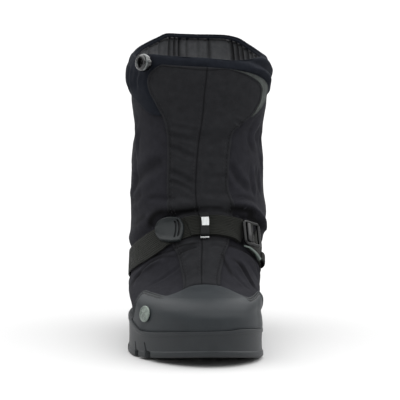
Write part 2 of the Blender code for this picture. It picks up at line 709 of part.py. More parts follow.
# ---------------------------------------------------------------- the whole
def main():
    for piece in list(bpy.data.objects):
        bpy.data.objects.remove(piece, do_unlink=True)
    rubber = paint("sole_rubber", (0.035, 0.036, 0.038), 0.62)
    cap_rubber = paint("cap_rubber", (0.04, 0.041, 0.043), 0.55)
    nylon = paint("nylon", (0.012, 0.012, 0.014), 0.8)
    fleece = paint("band_cloth", (0.011, 0.013, 0.02), 0.9)
    felt = paint("insole_felt", (0.03, 0.03, 0.032), 0.95)
    tape = paint("loop_tape", (0.06, 0.065, 0.06), 0.9)
    webbing = paint("webbing", (0.018, 0.018, 0.015), 0.7)
    plastic = paint("black_plastic", (0.01, 0.01, 0.01), 0.25)
    tab_rubber = paint("tab_rubber", (0.05, 0.055, 0.055), 0.5)
    metal = paint("badge_metal", (0.35, 0.36, 0.37), 0.35, 0.8)
    build_sole(rubber)
    build_upper(nylon)
    build_insole(felt)
    build_cap(cap_rubber)
    build_band(fleece)
    build_flap(nylon)
    build_tape(tape)
    build_webbing("instep_strap", -130.0, STRAP_TURN, 0, webbing)
    build_webbing("strap_return", RETURN_START, STRAP_TURN, 1, webbing)
    build_webbing("anchor_strap", ANCHOR_START, 130.0, 0, webbing)
    build_tab(tab_rubber)
    build_keeper(plastic)
    build_buckle(plastic)
    build_badge(metal)
    build_cord_lock(plastic)


main()
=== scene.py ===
"""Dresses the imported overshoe: cloth with its folds, rubber, webbing and trim, on a pale floor.

Sizes are millimetres and become metres when a mesh is made. A place on the upper is named as in the part:
its turn is in degrees round the outline from the front, + towards the inner side, and its height is above the
tread.
"""

import math
from collections import namedtuple
from functools import lru_cache

import bmesh
import bpy
import numpy as np
from mathutils import Matrix, Vector


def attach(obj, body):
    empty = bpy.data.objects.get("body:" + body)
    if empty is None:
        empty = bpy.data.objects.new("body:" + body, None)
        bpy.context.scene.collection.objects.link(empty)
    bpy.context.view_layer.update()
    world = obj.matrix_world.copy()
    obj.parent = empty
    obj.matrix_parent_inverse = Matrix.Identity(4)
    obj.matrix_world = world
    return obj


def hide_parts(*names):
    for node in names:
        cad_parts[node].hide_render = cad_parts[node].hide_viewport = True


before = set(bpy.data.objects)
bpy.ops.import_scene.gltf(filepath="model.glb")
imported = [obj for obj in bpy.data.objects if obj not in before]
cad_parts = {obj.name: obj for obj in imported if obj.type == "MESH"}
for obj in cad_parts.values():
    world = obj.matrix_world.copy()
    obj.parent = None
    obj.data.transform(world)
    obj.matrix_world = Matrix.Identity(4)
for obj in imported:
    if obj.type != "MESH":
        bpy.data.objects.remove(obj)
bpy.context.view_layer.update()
MM = 0.001

# ---------------- the part's driving sizes
SOLE_LENGTH = 325
TOE_SPRING = 10.8
SPRING_START = -60
FOREFOOT_SKEW = 0.12
ARCH_SHIFT = 6.8
SIDE_SHIFT = -2.05
FLOOR_HEIGHT = 13.7
UPPER_BOTTOM = 14
UPPER_TOP = 288
WALL = 2.4
LAY = 0.6
CAP_THICKNESS = 1.9
CAP_LAY = 1.05
WING_LIFT = 1.05
BAND_THICKNESS = 2
FLAP_THICKNESS = 1.3
TAPE_THICKNESS = 0.8
WEBBING_WIDTH = 22
WEBBING_THICKNESS = 1.2


def table(kind, *rows):
    """Rows of one kind from plain numbers."""
    return tuple(kind(*row) for row in rows)


Section = namedtuple("Section", "z front back inward lean w30 w60 w90 w120 w150")
UPPER_SECTIONS = table(
    Section,
    (14, -156, 155, 5, 0, 37, 58.5, 49.5, 42.5, 31.5), (26, -158, 157, 5, 0, 37.5, 60, 51, 43.5, 33),
    (36, -157.5, 157.5, 5, -0.1, 38, 59.6, 52.8, 44.5, 33.5),
    (44, -153.5, 157, 5, -0.9, 39, 59.3, 56, 47.5, 34.5),
    (50, -147, 156.5, 5, -0.4, 39.4, 60.6, 59.2, 50.5, 35.5),
    (55, -138, 156, 5, 0.5, 38, 60.8, 61.2, 52.6, 36.3), (60, -122, 155, 5, 1.6, 32.5, 60, 61.8, 54.2, 37),
    (66, -98, 154.5, 4.5, 2.7, 29, 57.5, 62.8, 56, 37.5),
    (74, -80, 154, 3.5, 3, 29.5, 56.5, 63.6, 57.5, 38),
    (86, -63, 152.5, 3, 2.3, 31.5, 56.5, 64, 58.7, 38.3), (98, -48, 151, 2, 1.2, 33, 56.8, 65, 60.5, 38.5),
    (110, -36.5, 150, 1.5, 1.6, 34, 57.8, 66.2, 61.5, 38.5),
    (122, -29, 149.5, 1, 2.4, 34.5, 59.6, 67.2, 61.5, 38.5),
    (142, -22.5, 149, 0.5, 1.2, 36, 59.2, 65.4, 59.8, 38.5),
    (165, -17, 148, 0, 1.6, 36.5, 58.9, 65.4, 59.7, 38), (198, -10, 146, 0, 2.2, 36, 57, 63, 58, 36.5),
    (232, -6, 146, 0, 3.2, 37, 60.3, 67.2, 62, 38.3), (262, -7, 147, 0, 3.2, 38, 61.6, 67.9, 62.6, 39.4),
    (280, -6, 145, 0, 2.6, 37.5, 60.6, 66.6, 61.6, 38.5),
    (288, -4, 142, 0, 2.5, 36.5, 58.5, 64.5, 59.5, 37),
)
SOLE_PLAN = Section(0, -SOLE_LENGTH / 2, SOLE_LENGTH / 2, 5, -0.6, 41.5, 65, 56.5, 49, 37.5)
WIDTHS = Section._fields[5:]

Turned = namedtuple("Turned", "turn value")
RIM_HEIGHT = table(
    Turned,
    (-180, 38.5), (-120, 36.5), (-75, 36.5), (-60, 33.6), (-54, 30.6), (-49, 27), (-44, 25.2), (-30, 25.1),
    (0, 25.2), (15, 25.8), (27, 27.8), (45, 28.2), (58, 27.4), (66, 28.6), (76, 32.5), (88, 36),
    (120, 36.5), (180, 38.5),
)
CAP_TOP = table(
    Turned,
    (-60, 39), (-57, 43), (-54, 49.2), (-51, 55.6), (-48, 59.2), (-42.5, 58.8), (-36, 57.9), (-31, 57.4),
    (-27.5, 59.5), (-20, 64.6), (-12, 66.9), (-2, 67.7), (11, 66.6), (21.5, 63.4), (27.5, 59.9), (34, 56.1),
    (40, 57), (46, 58.5), (50, 59.4), (53, 57.5), (60, 49.5), (67.5, 42), (72, 38.8),
)
CAP_START = -60
CAP_END = 72
COLLAR_LIFT = table(
    Turned,
    (-180, 1), (-168, 1.8), (-157, 2.8), (-147, -1), (-130, -6.5), (-108, -11), (-85, -11.5), (-60, -7.5),
    (-40, -4), (0, -5.5), (32, -9.5), (60, -9.5), (85, -11.5), (108, -12.5), (121, -11), (134, -7),
    (148, -0.8), (160, 1), (180, 1),
)
BAND_BOTTOM = table(
    Turned,
    (-180, 238), (-90, 241), (-60, 234), (-38, 224), (0, 224), (40, 228), (75, 240), (120, 238), (180, 238),
)

FlapRow = namedtuple("FlapRow", "z outer inner")
FLAP_ROWS = table(
    FlapRow,
    (71, -24, 13.8), (78, -23.2, 14.8), (86, -22.4, 17), (94, -22.4, 20), (102, -25.8, 23.2),
    (110, -26.3, 24.6), (119, -25.8, 26), (129, -25.2, 26.4), (142, -25.5, 25), (158, -25.5, 22),
    (178, -25.5, 22.5), (200, -26, 24.5), (208, -26, 25.5), (215, -26.5, 31), (222, -28.5, 39),
    (230, -32, 46), (240, -36.5, 51.5), (250, -40.5, 52), (260, -42, 47), (267, -40.5, 40),
    (273, -36.5, 33), (277, -32.5, 26), (279.5, -28.5, 19),
)
TAPE_BOTTOM = 222
TAPE_TURNS = 9.5

STRAP_LINE = table(
    Turned,
    (-132, 51), (-112, 62), (-90, 73), (-72, 82.5), (-58, 91.5), (-42, 102), (-30, 109.5), (-18, 115.2),
    (-4, 119.2), (9, 119.4), (21, 117.2), (30, 114), (40, 108.8), (50, 102.5), (62, 94), (75, 85), (90, 74),
    (108, 63), (132, 51),
)
BUCKLE_TURN = 42
STRAP_TURN = BUCKLE_TURN - 4
ANCHOR_START = BUCKLE_TURN + 6.5
STRAP_END = 130
RETURN_START = -10.8
KEEPER_START = -1.2
KEEPER_END = 5.4
KEEPER_WIDTH = 8.6
KEEPER_THICKNESS = 1.5
KEEPER_CORNER = 1.6

# The pull tab from its tip to its bowed end: share of the way, height of its middle, half its height.
TabRow = namedtuple("TabRow", "share middle half")
TAB_ROWS = table(
    TabRow,
    (0, 112.4, 2.2), (0.06, 112.6, 5.2), (0.15, 113, 8.4), (0.36, 113.7, 11.1), (0.67, 114.6, 12.5),
    (0.88, 114.8, 12.1), (1, 114.8, 11.3),
)
TAB_TIP = -38.6
TAB_END = -14
TAB_BOW = 3
TAB_THICKNESS = 2.6


# ---------------- tables and curves
def ease(value):
    """0 below zero, 1 above one, smooth between them."""
    value = np.clip(value, 0, 1)
    return value * value * (3 - 2 * value)


def bead(distance, middle, width):
    """A soft ridge of height one."""
    return np.exp(-((distance - middle) / width) ** 2)


def around(count):
    """Angles of a full turn, without its end."""
    return np.linspace(0, 2 * math.pi, count, endpoint=False)


def tangents(places, values):
    """Slopes that keep a curve through a table from overshooting its rows."""
    steps = np.diff(places)
    rises = np.diff(values) / steps
    slopes = [rises[0]]
    for index in range(len(rises) - 1):
        before, after = rises[index], rises[index + 1]
        first = 2 * steps[index + 1] + steps[index]
        second = steps[index + 1] + 2 * steps[index]
        slopes.append(0 if before * after <= 0 else (first + second) / (first / before + second / after))
    slopes.append(rises[-1])
    return np.array(slopes)


@lru_cache(maxsize=None)
def curve_of(rows, name):
    """Places, values and slopes of one column of a table."""
    places, values = np.array([(row[0], getattr(row, name)) for row in rows], float).T
    return places, values, tangents(places, values)


def read(rows, place, name="value"):
    """A column's values at places between the table's rows."""
    places, values, slopes = curve_of(rows, name)
    place = np.clip(np.asarray(place, float), places[0], places[-1])
    index = np.clip(np.searchsorted(places, place) - 1, 0, len(places) - 2)
    width = places[index + 1] - places[index]
    t = (place - places[index]) / width
    start = (2 * t ** 3 - 3 * t ** 2 + 1) * values[index] + (t ** 3 - 2 * t ** 2 + t) * width * slopes[index]
    end = (3 * t ** 2 - 2 * t ** 3) * values[index + 1] + (t ** 3 - t ** 2) * width * slopes[index + 1]
    return start + end


def wrap(turn):
    """The same turn between -180 and 180."""
    return (np.asarray(turn, float) + 180) % 360 - 180


def level(*values):
    """Values as arrays of one shape."""
    return np.broadcast_arrays(*(np.asarray(value, float) for value in values))


def unit(steps):
    """Steps shortened or lengthened to a length of one."""
    return steps / np.maximum(np.linalg.norm(steps, axis=-1, keepdims=True), 1e-9)


# ---------------- form of the last
def spring(y):
    """How far the toe lifts off the ground."""
    ahead = np.maximum(SPRING_START - y, 0) / (SOLE_LENGTH / 2 + SPRING_START)
    return TOE_SPRING * ahead ** 2


def outline(section, turn, z):
    """Points of an outline, flat; section gives each column's value at z."""
    angle = np.radians(turn)
    along = (1 - np.cos(angle)) / 2
    count = len(WIDTHS) + 1
    half = 0
    for order in range(1, count):
        wave = sum(2 / count * section[name] * math.sin(math.pi * order * place / count)
                   for place, name in enumerate(WIDTHS, start=1))
        half = half + wave * np.sin(order * angle)
    low = 1 - ease((z - 60) / 60)
    bend = section["inward"] * (1 - along) ** 3 - low * ARCH_SHIFT * np.sin(math.pi * along ** 0.8) ** 2
    skew = low * FOREFOOT_SKEW * (1 - ease((along - 0.3) / 0.4)) * half
    x = half + bend + section["lean"] + SIDE_SHIFT
    return x, section["front"] + (section["back"] - section["front"]) * along - skew


def face(turn, z):
    """Points of the upper's outer face, plain."""
    turn, z = level(turn, z)
    section = {name: read(UPPER_SECTIONS, z, name) for name in Section._fields[1:]}
    x, y = outline(section, turn, z)
    lift = read(COLLAR_LIFT, wrap(turn)) * ease((z - 236) / (UPPER_TOP - 236))
    return np.stack((x, y, z + spring(y) + lift), -1)


def away_from(turn, z):
    """Directions that point off the upper's outer face."""
    z = np.asarray(z, float)
    round_step = face(turn + 0.4, z) - face(turn - 0.4, z)
    rise_step = face(turn, np.minimum(z + 0.4, UPPER_TOP)) - face(turn, np.maximum(z - 0.4, UPPER_BOTTOM))
    return unit(np.cross(round_step, rise_step))


def on_upper(turn, z, out=0):
    """Points that lie a distance off the upper's plain outer face."""
    turn, z, out = level(turn, z, out)
    return face(turn, z) + away_from(turn, z) * out[..., None]


def on_sole(turn, z, inset):
    """Points of the sole's side, a distance inside its plan."""
    plan = SOLE_PLAN._asdict()
    turn = np.asarray(turn, float)
    low = np.zeros_like(turn)
    x, y = outline(plan, turn, low)
    ahead, behind = outline(plan, turn + 0.4, low), outline(plan, turn - 0.4, low)
    step_x, step_y = ahead[0] - behind[0], ahead[1] - behind[1]
    length = np.hypot(step_x, step_y)
    x, y = x - step_y / length * inset, y + step_x / length * inset
    return np.stack((x, y, z + spring(y)), -1)


def rim_height(turn):
    """Height of the sole's rim."""
    return read(RIM_HEIGHT, wrap(turn))


def band_bottom(turn):
    """Height of the collar band's lower edge."""
    return read(BAND_BOTTOM, wrap(turn))


def strap_middle(turn):
    """Height of the strap's middle line."""
    return read(STRAP_LINE, turn)


def flap_edges(z):
    """Turns of the flap's outer and inner edge."""
    return read(FLAP_ROWS, z, "outer"), read(FLAP_ROWS, z, "inner")


def over_band(turn, z):
    """Distance off the upper that clears the collar band."""
    return LAY + (BAND_THICKNESS + LAY + 0.35) * ease((z - band_bottom(turn) + 22) / 12)


def over_flap(turn, z):
    """Distance off the upper that clears the front strip below the flap."""
    outer, inner = flap_edges(z)
    covered = ease((turn - outer + 12) / 10) * ease((inner + 12 - turn) / 10)
    return LAY + (FLAP_THICKNESS + LAY) * covered


# ---------------- folds of the cloth
# A crease is a soft trough through three places on the upper, with a low ridge on either side of it. A
# negative depth makes a ridge.
Crease = namedtuple("Crease", "turn_a z_a turn_m z_m turn_b z_b width depth")
SHAFT_CREASES = table(
    Crease,
    (-26, 217, -12, 213, 1, 211, 2.4, 0.9), (-26, 207, -13, 204, 1, 198, 2.2, 1),
    (-26, 197, -14, 190, -2, 183, 2.6, 1.6), (-25, 172, -13, 166, -2, 157, 2.8, 1.9),
    (-26, 161, -15, 159, -5, 152, 2.2, 1.2), (-24, 147, -12, 146, -1, 141, 2.6, 0.8),
    (3, 197, 14, 200, 26, 206, 3, 0.8), (3, 186, 14, 185, 24, 183, 3, 0.6),
    (3, 163, 13, 166, 23, 164, 2.6, 0.6), (3, 152, 12, 149, 22, 151, 3, 0.7),
    (24, 222, 30, 217, 36, 214, 2.2, 1.2), (-27, 182, -44, 172, -76, 146, 6.5, 2.2),
    (-58, 214, -70, 196, -66, 176, 3.6, -1.5), (-86, 220, -74, 200, -96, 176, 4.5, 1.7),
    (-82, 178, -70, 158, -88, 136, 4.2, -1.8), (-100, 206, -112, 178, -104, 150, 6, 1.8),
    (-50, 150, -66, 138, -88, 130, 4, 1.4), (-124, 214, -136, 190, -130, 160, 6, 1.6),
    (-150, 222, -158, 196, -150, 170, 7, 1.4), (-110, 140, -134, 128, -158, 124, 4.5, 1.8),
    (22, 182, 32, 162, 44, 150, 4, 1.9), (72, 219, 50, 204, 62, 186, 3.6, -2),
    (62, 186, 72, 172, 66, 158, 3.4, -1.6), (84, 216, 68, 198, 86, 176, 4, 1.9),
    (52, 176, 50, 160, 56, 142, 3.2, -1.7), (66, 172, 60, 156, 70, 140, 3.4, 1.5),
    (100, 212, 112, 184, 104, 152, 6, 1.9), (126, 218, 138, 188, 128, 160, 6, 1.6),
    (152, 220, 160, 192, 150, 166, 7, 1.4), (112, 140, 136, 128, 160, 124, 4.5, 1.8),
    (170, 168, 180, 160, 190, 166, 5, 1.3), (22, 143, 38, 143, 56, 134, 2.6, 1.5),
    (-48, 141, -32, 145, -10, 141, 2.6, 1.3),
)
VAMP_CREASES = table(
    Crease,
    (-30, 92, -52, 80, -66, 62, 2.4, 1.7), (-66, 66, -66, 60, -65, 52, 2.2, 1),
    (-30, 97, -56, 86, -80, 70, 2.6, 1.5), (-20, 86, -36, 74, -56, 60, 2, 0.9),
    (-40, 87, -58, 74, -74, 58, 2.2, -0.9), (28, 90, 42, 76, 56, 58, 2.2, 1.8),
    (32, 98, 52, 86, 68, 66, 2.4, 1.6), (23, 82, 36, 70, 50, 58, 2, 0.9),
    (36, 92, 54, 78, 70, 62, 2.2, -0.9), (-21, 93, -12, 98, -2, 101, 1.9, 2),
    (-20, 87, -14, 92, -8, 96, 1.7, -0.7), (4, 99, 12, 101, 20, 97, 2, 1),
    (-96, 56, -118, 70, -142, 90, 4.5, 1.5), (-108, 50, -132, 58, -156, 78, 4, 1.2),
    (96, 56, 118, 70, 142, 90, 4.5, 1.5), (108, 50, 132, 58, 156, 78, 4, 1.2),
    (158, 100, 180, 94, 202, 100, 5, 1.2),
)
# Broad swellings of the cloth: their middle, their size round and up the shoe, and their height.
Puff = namedtuple("Puff", "turn z turns rise height")
PUFFS = table(
    Puff,
    (80, 136, 18, 10, 0.7), (40, 150, 16, 14, 1.2), (-44, 158, 16, 18, 1.4), (-78, 140, 18, 14, 1.6),
    (-70, 205, 14, 14, 1.2), (68, 205, 14, 12, 1.4), (118, 170, 18, 30, 1.6), (-118, 175, 18, 30, 1.6),
    (180, 200, 24, 34, 1.2), (-14, 176, 9, 7, 0.9), (-13, 200, 9, 6, 0.8), (13, 175, 9, 8, 0.7),
    (-36, 84, 14, 8, 1), (40, 86, 14, 8, 1.1), (0, 88, 12, 9, 0.7), (-62, 62, 14, 6, 0.8),
)
LATTICE = np.random.default_rng(11).random((32, 32, 32)) * 2 - 1


def noise(points, size):
    """Smooth noise from -1 to 1, the same each run."""
    place = np.asarray(points, float) / size + 64
    base = np.floor(place).astype(int)
    part = place - base
    part = part * part * (3 - 2 * part)
    total = 0
    for corner in np.ndindex(2, 2, 2):
        weight = np.prod(np.where(np.array(corner) == 1, part, 1 - part), axis=-1)
        index = (base + np.array(corner)) % 32
        total = total + weight * LATTICE[index[..., 0], index[..., 1], index[..., 2]]
    return total


def bend(crease, count):
    """Turns and heights of places along a crease, on the curve through its three places."""
    t = np.linspace(0, 1, count)
    first, middle, last = (1 - t) * (1 - 2 * t), 4 * t * (1 - t), t * (2 * t - 1)
    return (first * crease.turn_a + middle * crease.turn_m + last * crease.turn_b,
            first * crease.z_a + middle * crease.z_m + last * crease.z_b)


def beside(flat, line, reach, steepness):
    """Which points a line reaches, how far off it they are, and a taper towards the line's ends."""
    near = np.all((flat > line.min(0) - reach) & (flat < line.max(0) + reach), axis=1)
    spot = flat[near]
    best, along = np.full(len(spot), 1e9), np.zeros(len(spot))
    for index in range(len(line) - 1):
        start, step = line[index], line[index + 1] - line[index]
        t = np.clip((spot - start) @ step / (step @ step), 0, 1)
        gap = np.linalg.norm(spot - start - t[:, None] * step, axis=1)
        along = np.where(gap < best, (index + t) / (len(line) - 1), along)
        best = np.minimum(gap, best)
    return near, best, ease(np.minimum(along, 1 - along) * steepness)


def crease_depths(points, creases):
    """How far creases move points of the plain face along its direction."""
    flat = points.reshape(-1, 3)
    total = np.zeros(len(flat))
    for crease in creases:
        near, gap, taper = beside(flat, face(*bend(crease, 11)), 3.4 * crease.width, 3.5)
        side = gap / crease.width
        total[near] -= crease.depth * taper * (bead(side, 0, 1) - 0.45 * bead(side, 1.75, 0.75))
    return total.reshape(points.shape[:-1])


# Painted shade where folds, the strap, the tab and the buckle cast shadow on the cloth: the same columns
# as a crease, with the share of darkening as its depth.
SHADES = table(
    Crease,
    (-47, 111, -39, 127, -25, 131.5, 4.6, 0.93), (-32, 130.5, -14, 133, 2, 136, 3.4, 0.93),
    (-4, 136.5, 8, 137, 19, 135, 1.8, 0.6), (19, 134.5, 36, 132.6, 50, 124.5, 3.6, 0.97),
    (24, 128, 34, 125, 44, 119, 3.6, 0.6), (38, 129, 52, 119, 74, 103, 3.6, 0.96),
    (35, 124, 36.5, 111, 38, 97, 3.6, 0.97), (38, 115, 47, 106, 56, 98, 8, 0.9),
    (-76, 74, -50, 87, -24, 97, 1.7, 0.9), (-34, 93, -18, 99.5, 0, 104, 1.6, 0.85),
    (18, 103, 40, 94.5, 64, 81, 2, 0.95), (-24, 91.5, -12, 97, -3, 100.2, 1.3, 0.9),
    (-28, 92.5, -50, 82, -68, 60, 2, 0.6), (-42, 86, -32, 90, -20, 92, 1.3, 0.5),
    (-36, 87, -60, 70, -74, 54, 1.6, 0.45), (22, 92, 44, 76, 54, 58, 2.2, 0.62),
    (16.5, 95, 20, 86, 30, 73, 1.8, 0.75), (34, 94, 54, 80, 70, 62, 1.9, 0.5),
    (-48, 126, -60, 119, -78, 108, 3, 0.6),
)


def shade_of(points, lift=0):
    """Share of painted shade of points near the folded cloth, from the lines of painted shade."""
    flat = np.asarray(points, float).reshape(-1, 3)
    clear = np.ones(len(flat))
    for shade in SHADES:
        near, gap, taper = beside(flat, dressed(*bend(shade, 9), lift), 3 * shade.width, 5)
        clear[near] *= 1 - shade.depth * taper * bead(gap, 0, shade.width)
    return 1 - clear


def strap_press(turn, z):
    """1 under the strap, 0 away from it."""
    gap = np.abs(z - strap_middle(wrap(turn)))
    return (1 - ease((gap - WEBBING_WIDTH / 2 + 1) / 5)) * ease((132 - np.abs(wrap(turn))) / 4)


TUCKS = table(
    Turned,
    (-180, 0), (-132, 0.3), (-90, 0.8), (-56, 1.3), (-36, 1.7), (-14, 1.6), (-4, 1), (6, 0.7), (18, 1),
    (28, 1.8), (60, 1.9), (90, 1.2), (132, 0.3), (180, 0),
)


def tucks(turn, z):
    """Cloth that turns in along the strap's edges and swells beside them."""
    middle = strap_middle(wrap(turn))
    above, below = z - middle - WEBBING_WIDTH / 2, middle - WEBBING_WIDTH / 2 - z
    over = 2 * bead(above, 12, 6.5) - 1.9 * bead(above, 2.4, 2.5)
    under = 0.7 * bead(below, 7, 3.6) - 1.5 * bead(below, 0.6, 1.7)
    return read(TUCKS, wrap(turn)) * (over + under)


POUCH_LINE = table(
    Turned,
    (18, 139), (23, 137), (32, 136), (39, 134), (46, 130), (52, 124), (58, 117), (68, 110), (80, 105),
    (100, 99),
)


def pouch(turn, z):
    """Cloth on the inner side that hangs over the strap and ends in a sharp lower lip."""
    above = z - read(POUCH_LINE, wrap(turn))
    amount = ease((wrap(turn) - 22) / 12) * ease((108 - wrap(turn)) / 60)
    lip = ease((above + 0.4) / 1.5) * bead(np.maximum(above - 2.5, 0), 0, 8)
    return amount * (3 * lip - 2.4 * bead(above, -3.8, 3))


def folds(turn, z):
    """How far the folded cloth stands off its plain form."""
    turn, z = level(turn, z)
    points = face(turn, z)
    depth = crease_depths(points, SHAFT_CREASES + VAMP_CREASES) + tucks(turn, z) + pouch(turn, z)
    for puff in PUFFS:
        depth = depth + puff.height * np.exp(-(wrap(turn - puff.turn) / puff.turns) ** 2
                                             - ((z - puff.z) / puff.rise) ** 2)
    depth = depth + 0.45 * noise(points * (1, 1, 0.55), 19) + 0.2 * noise(points, 7.5)
    held = np.maximum(strap_press(turn, z), ease((68 - z) / 12) * ease((76 - np.abs(wrap(turn))) / 6))
    held = np.maximum(held, ease((rim_height(turn) + 14 - z) / 12))
    calm = 1 - 0.75 * ease((z - 226) / 18)
    return depth * (1 - held) * calm - 0.5 * strap_press(turn, z)


def dressed(turn, z, out=0):
    """Points that lie a distance off the folded cloth."""
    return on_upper(turn, z, folds(turn, z) + out)


# ---------------- meshes
def placed(name, data):
    """A new object in the scene."""
    made = bpy.data.objects.new(name, data)
    bpy.context.scene.collection.objects.link(made)
    return made


def add_piece(name, points, faces, material, slot, uv=None, replaces=(), smooth_angle=None, shade=None):
    """One visible piece from points in millimetres; it rides on the part's one body."""
    mesh = bpy.data.meshes.new(name)
    faces = faces if isinstance(faces, list) else faces.tolist()
    mesh.from_pydata((np.asarray(points, float).reshape(-1, 3) * MM).tolist(), [], faces)
    if uv is not None:
        layer = mesh.uv_layers.new(name="UVMap")
        corners = np.empty(len(mesh.loops), int)
        mesh.loops.foreach_get("vertex_index", corners)
        layer.data.foreach_set("uv", np.asarray(uv, np.float32).reshape(-1, 2)[corners].ravel())
    if shade is not None:
        darkening = mesh.attributes.new("shade", "FLOAT", "POINT")
        darkening.data.foreach_set("value", np.asarray(shade, np.float32).ravel())
    shell = bmesh.new()
    shell.from_mesh(mesh)
    bmesh.ops.recalc_face_normals(shell, faces=shell.faces)
    shell.to_mesh(mesh)
    shell.free()
    mesh.shade_smooth()
    if smooth_angle is not None:
        mesh.set_sharp_from_angle(angle=math.radians(smooth_angle))
    mesh.materials.append(material)
    piece = placed(name, mesh)
    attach(piece, "root")
    if replaces:
        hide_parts(*replaces)
    return piece


def ring_quads(rows, columns, close_rows, close_columns):
    """Quads of a grid, which may close on itself either way."""
    row = np.arange(rows if close_rows else rows - 1)[:, None]
    column = np.arange(columns if close_columns else columns - 1)[None, :]
    here, there = row * columns, (row + 1) % rows * columns
    after = (column + 1) % columns
    return np.stack((here + column, here + after, there + after, there + column), -1).reshape(-1, 4)


def tube_faces(rows, sides, closed=False):
    """Faces of a tube of rings, with both ends filled unless it closes on itself."""
    ends = [tuple(range(start, start + sides)) for start in (0, (rows - 1) * sides)]
    return ring_quads(rows, sides, closed, True).tolist() + ([] if closed else ends)


def hoop(name, rings, material, slot, uv, **more):
    """A closed shell, open in the middle, from an array of rings."""
    return add_piece(name, rings, ring_quads(*rings.shape[:2], True, True), material, slot, uv, **more)


def border(rows, columns):
    """Indices round the edge of a grid."""
    grid = np.arange(rows * columns).reshape(rows, columns)
    return np.concatenate((grid[0], grid[1:, -1], grid[-1, -2::-1], grid[-2:0:-1, 0]))


def slab(name, under, over, material, slot, uv, **more):
    """A closed sheet between two grids of points."""
    rows, columns = under.shape[:2]
    count = rows * columns
    cells = ring_quads(rows, columns, False, False)
    edge = border(rows, columns)
    after = np.roll(edge, -1)
    sides = np.stack((edge, after, after + count, edge + count), -1)
    faces = np.concatenate((cells, cells + count, sides))
    points = np.concatenate((under.reshape(-1, 3), over.reshape(-1, 3)))
    flat = np.asarray(uv).reshape(-1, 2)
    add_piece(name, points, faces, material, slot, np.concatenate((flat, flat)), **more)


def edge_distance(points):
    """Distances of a grid's points from its first and last row and its first and last column."""
    down = np.linalg.norm(np.diff(points, axis=0), axis=-1)
    across = np.linalg.norm(np.diff(points, axis=1), axis=-1)
    row = np.concatenate((np.zeros((1, points.shape[1])), np.cumsum(down, 0)))
    column = np.concatenate((np.zeros((points.shape[0], 1)), np.cumsum(across, 1)), 1)
    return row, row[-1:] - row, column, column[:, -1:] - column


def rounded(distance, radius, least=0.2):
    """Share of the thickness near a rounded edge."""
    t = np.clip(distance / radius, 0, 1)
    return least + (1 - least) * np.sqrt(1 - (1 - t) ** 2)


def spread(count, gather=0.75):
    """Shares from 0 to 1 that gather towards both ends."""
    even = np.linspace(0, 1, count)
    return (1 - gather) * even + gather * (0.5 - 0.5 * np.cos(math.pi * even))


def laid(name, turn, z, under, thickness, material, slot, cover=dressed, edge=1, relief=0, shade=None,
         **more):
    """A sheet laid over the upper, with rounded edges and a relief on its outside."""
    base = face(turn, z)
    distances = edge_distance(base)
    below = cover(turn, z, under)
    above = cover(turn, z, under + thickness * rounded(np.min(distances, 0), edge) + relief)
    uv = np.stack((distances[2], distances[0]), -1)
    if shade is not None:
        more["shade"] = np.concatenate((np.zeros(base.shape[:-1]), np.broadcast_to(shade, base.shape[:-1])))
    slab(name, below, above, material, slot, uv, **more)


# ---------------- materials
def fresh(name, roughness, **inputs):
    """A new material with its node tree and shader."""
    material = bpy.data.materials.new(name)
    material.use_nodes = True
    tree = material.node_tree
    shader = tree.nodes["Principled BSDF"]
    shader.inputs["Roughness"].default_value = roughness
    for key, value in inputs.items():
        shader.inputs[key.replace("_", " ")].default_value = value
    return material, tree, shader


def plug(tree, value, socket):
    """Give a socket a plain value or another node's result."""
    if isinstance(value, bpy.types.NodeSocket):
        tree.links.new(value, socket)
    else:
        socket.default_value = value


def add_node(tree, kind, **inputs):
    """One node, with its inputs given by name and its settings by property."""
    made = tree.nodes.new(kind)
    for key, value in inputs.items():
        socket = made.inputs.get(key.replace("_", " "))
        if socket is None:
            setattr(made, key, value)
        else:
            plug(tree, value, socket)
    return made


def combine(tree, operation, first, second):
    """A math node's result."""
    made = add_node(tree, "ShaderNodeMath", operation=operation)
    for socket, value in zip(made.inputs, (first, second)):
        plug(tree, value, socket)
    return made.outputs[0]


def both(tree, first, share, second):
    """The sum of a share of one value and the rest of another."""
    return combine(tree, "ADD", combine(tree, "MULTIPLY", first, share),
                   combine(tree, "MULTIPLY", second, 1 - share))


def speckle(tree, scale, detail=2):
    """Fine noise from 0 to 1, fixed to the piece."""
    place = tree.nodes.new("ShaderNodeTexCoord").outputs["Object"]
    return add_node(tree, "ShaderNodeTexNoise", Vector=place, Scale=scale, Detail=detail,
                    Roughness=0.55).outputs["Fac"]


def colour(tree, shader, share, dark, light):
    """A colour between dark and light by a share, scaled by painted shade and light kept on the mesh."""
    ramp = tree.nodes.new("ShaderNodeValToRGB")
    for stop, position, value in zip(ramp.color_ramp.elements, (0.3, 0.7), (dark, light)):
        stop.position, stop.color = position, (*value, 1)
    tree.links.new(share, ramp.inputs["Fac"])
    shade = add_node(tree, "ShaderNodeAttribute", attribute_name="shade").outputs["Fac"]
    left = add_node(tree, "ShaderNodeVectorMath", operation="SCALE", Vector=ramp.outputs["Color"],
                    Scale=combine(tree, "SUBTRACT", 1, shade))
    tree.links.new(left.outputs["Vector"], shader.inputs["Base Color"])


def roughen(tree, shader, height, distance):
    """Bump from a height, in metres."""
    bump = add_node(tree, "ShaderNodeBump", Height=height, Distance=distance)
    tree.links.new(bump.outputs["Normal"], shader.inputs["Normal"])


def threads(tree, pitch, across):
    """Waves of one set of threads, from the map in millimetres."""
    place = tree.nodes.new("ShaderNodeTexCoord").outputs["UV"]
    return add_node(tree, "ShaderNodeTexWave", Vector=place, Scale=2 * math.pi / (20 * pitch),
                    wave_type="BANDS", bands_direction=across, Distortion=0.6, Detail=1,
                    Detail_Scale=2).outputs["Fac"]


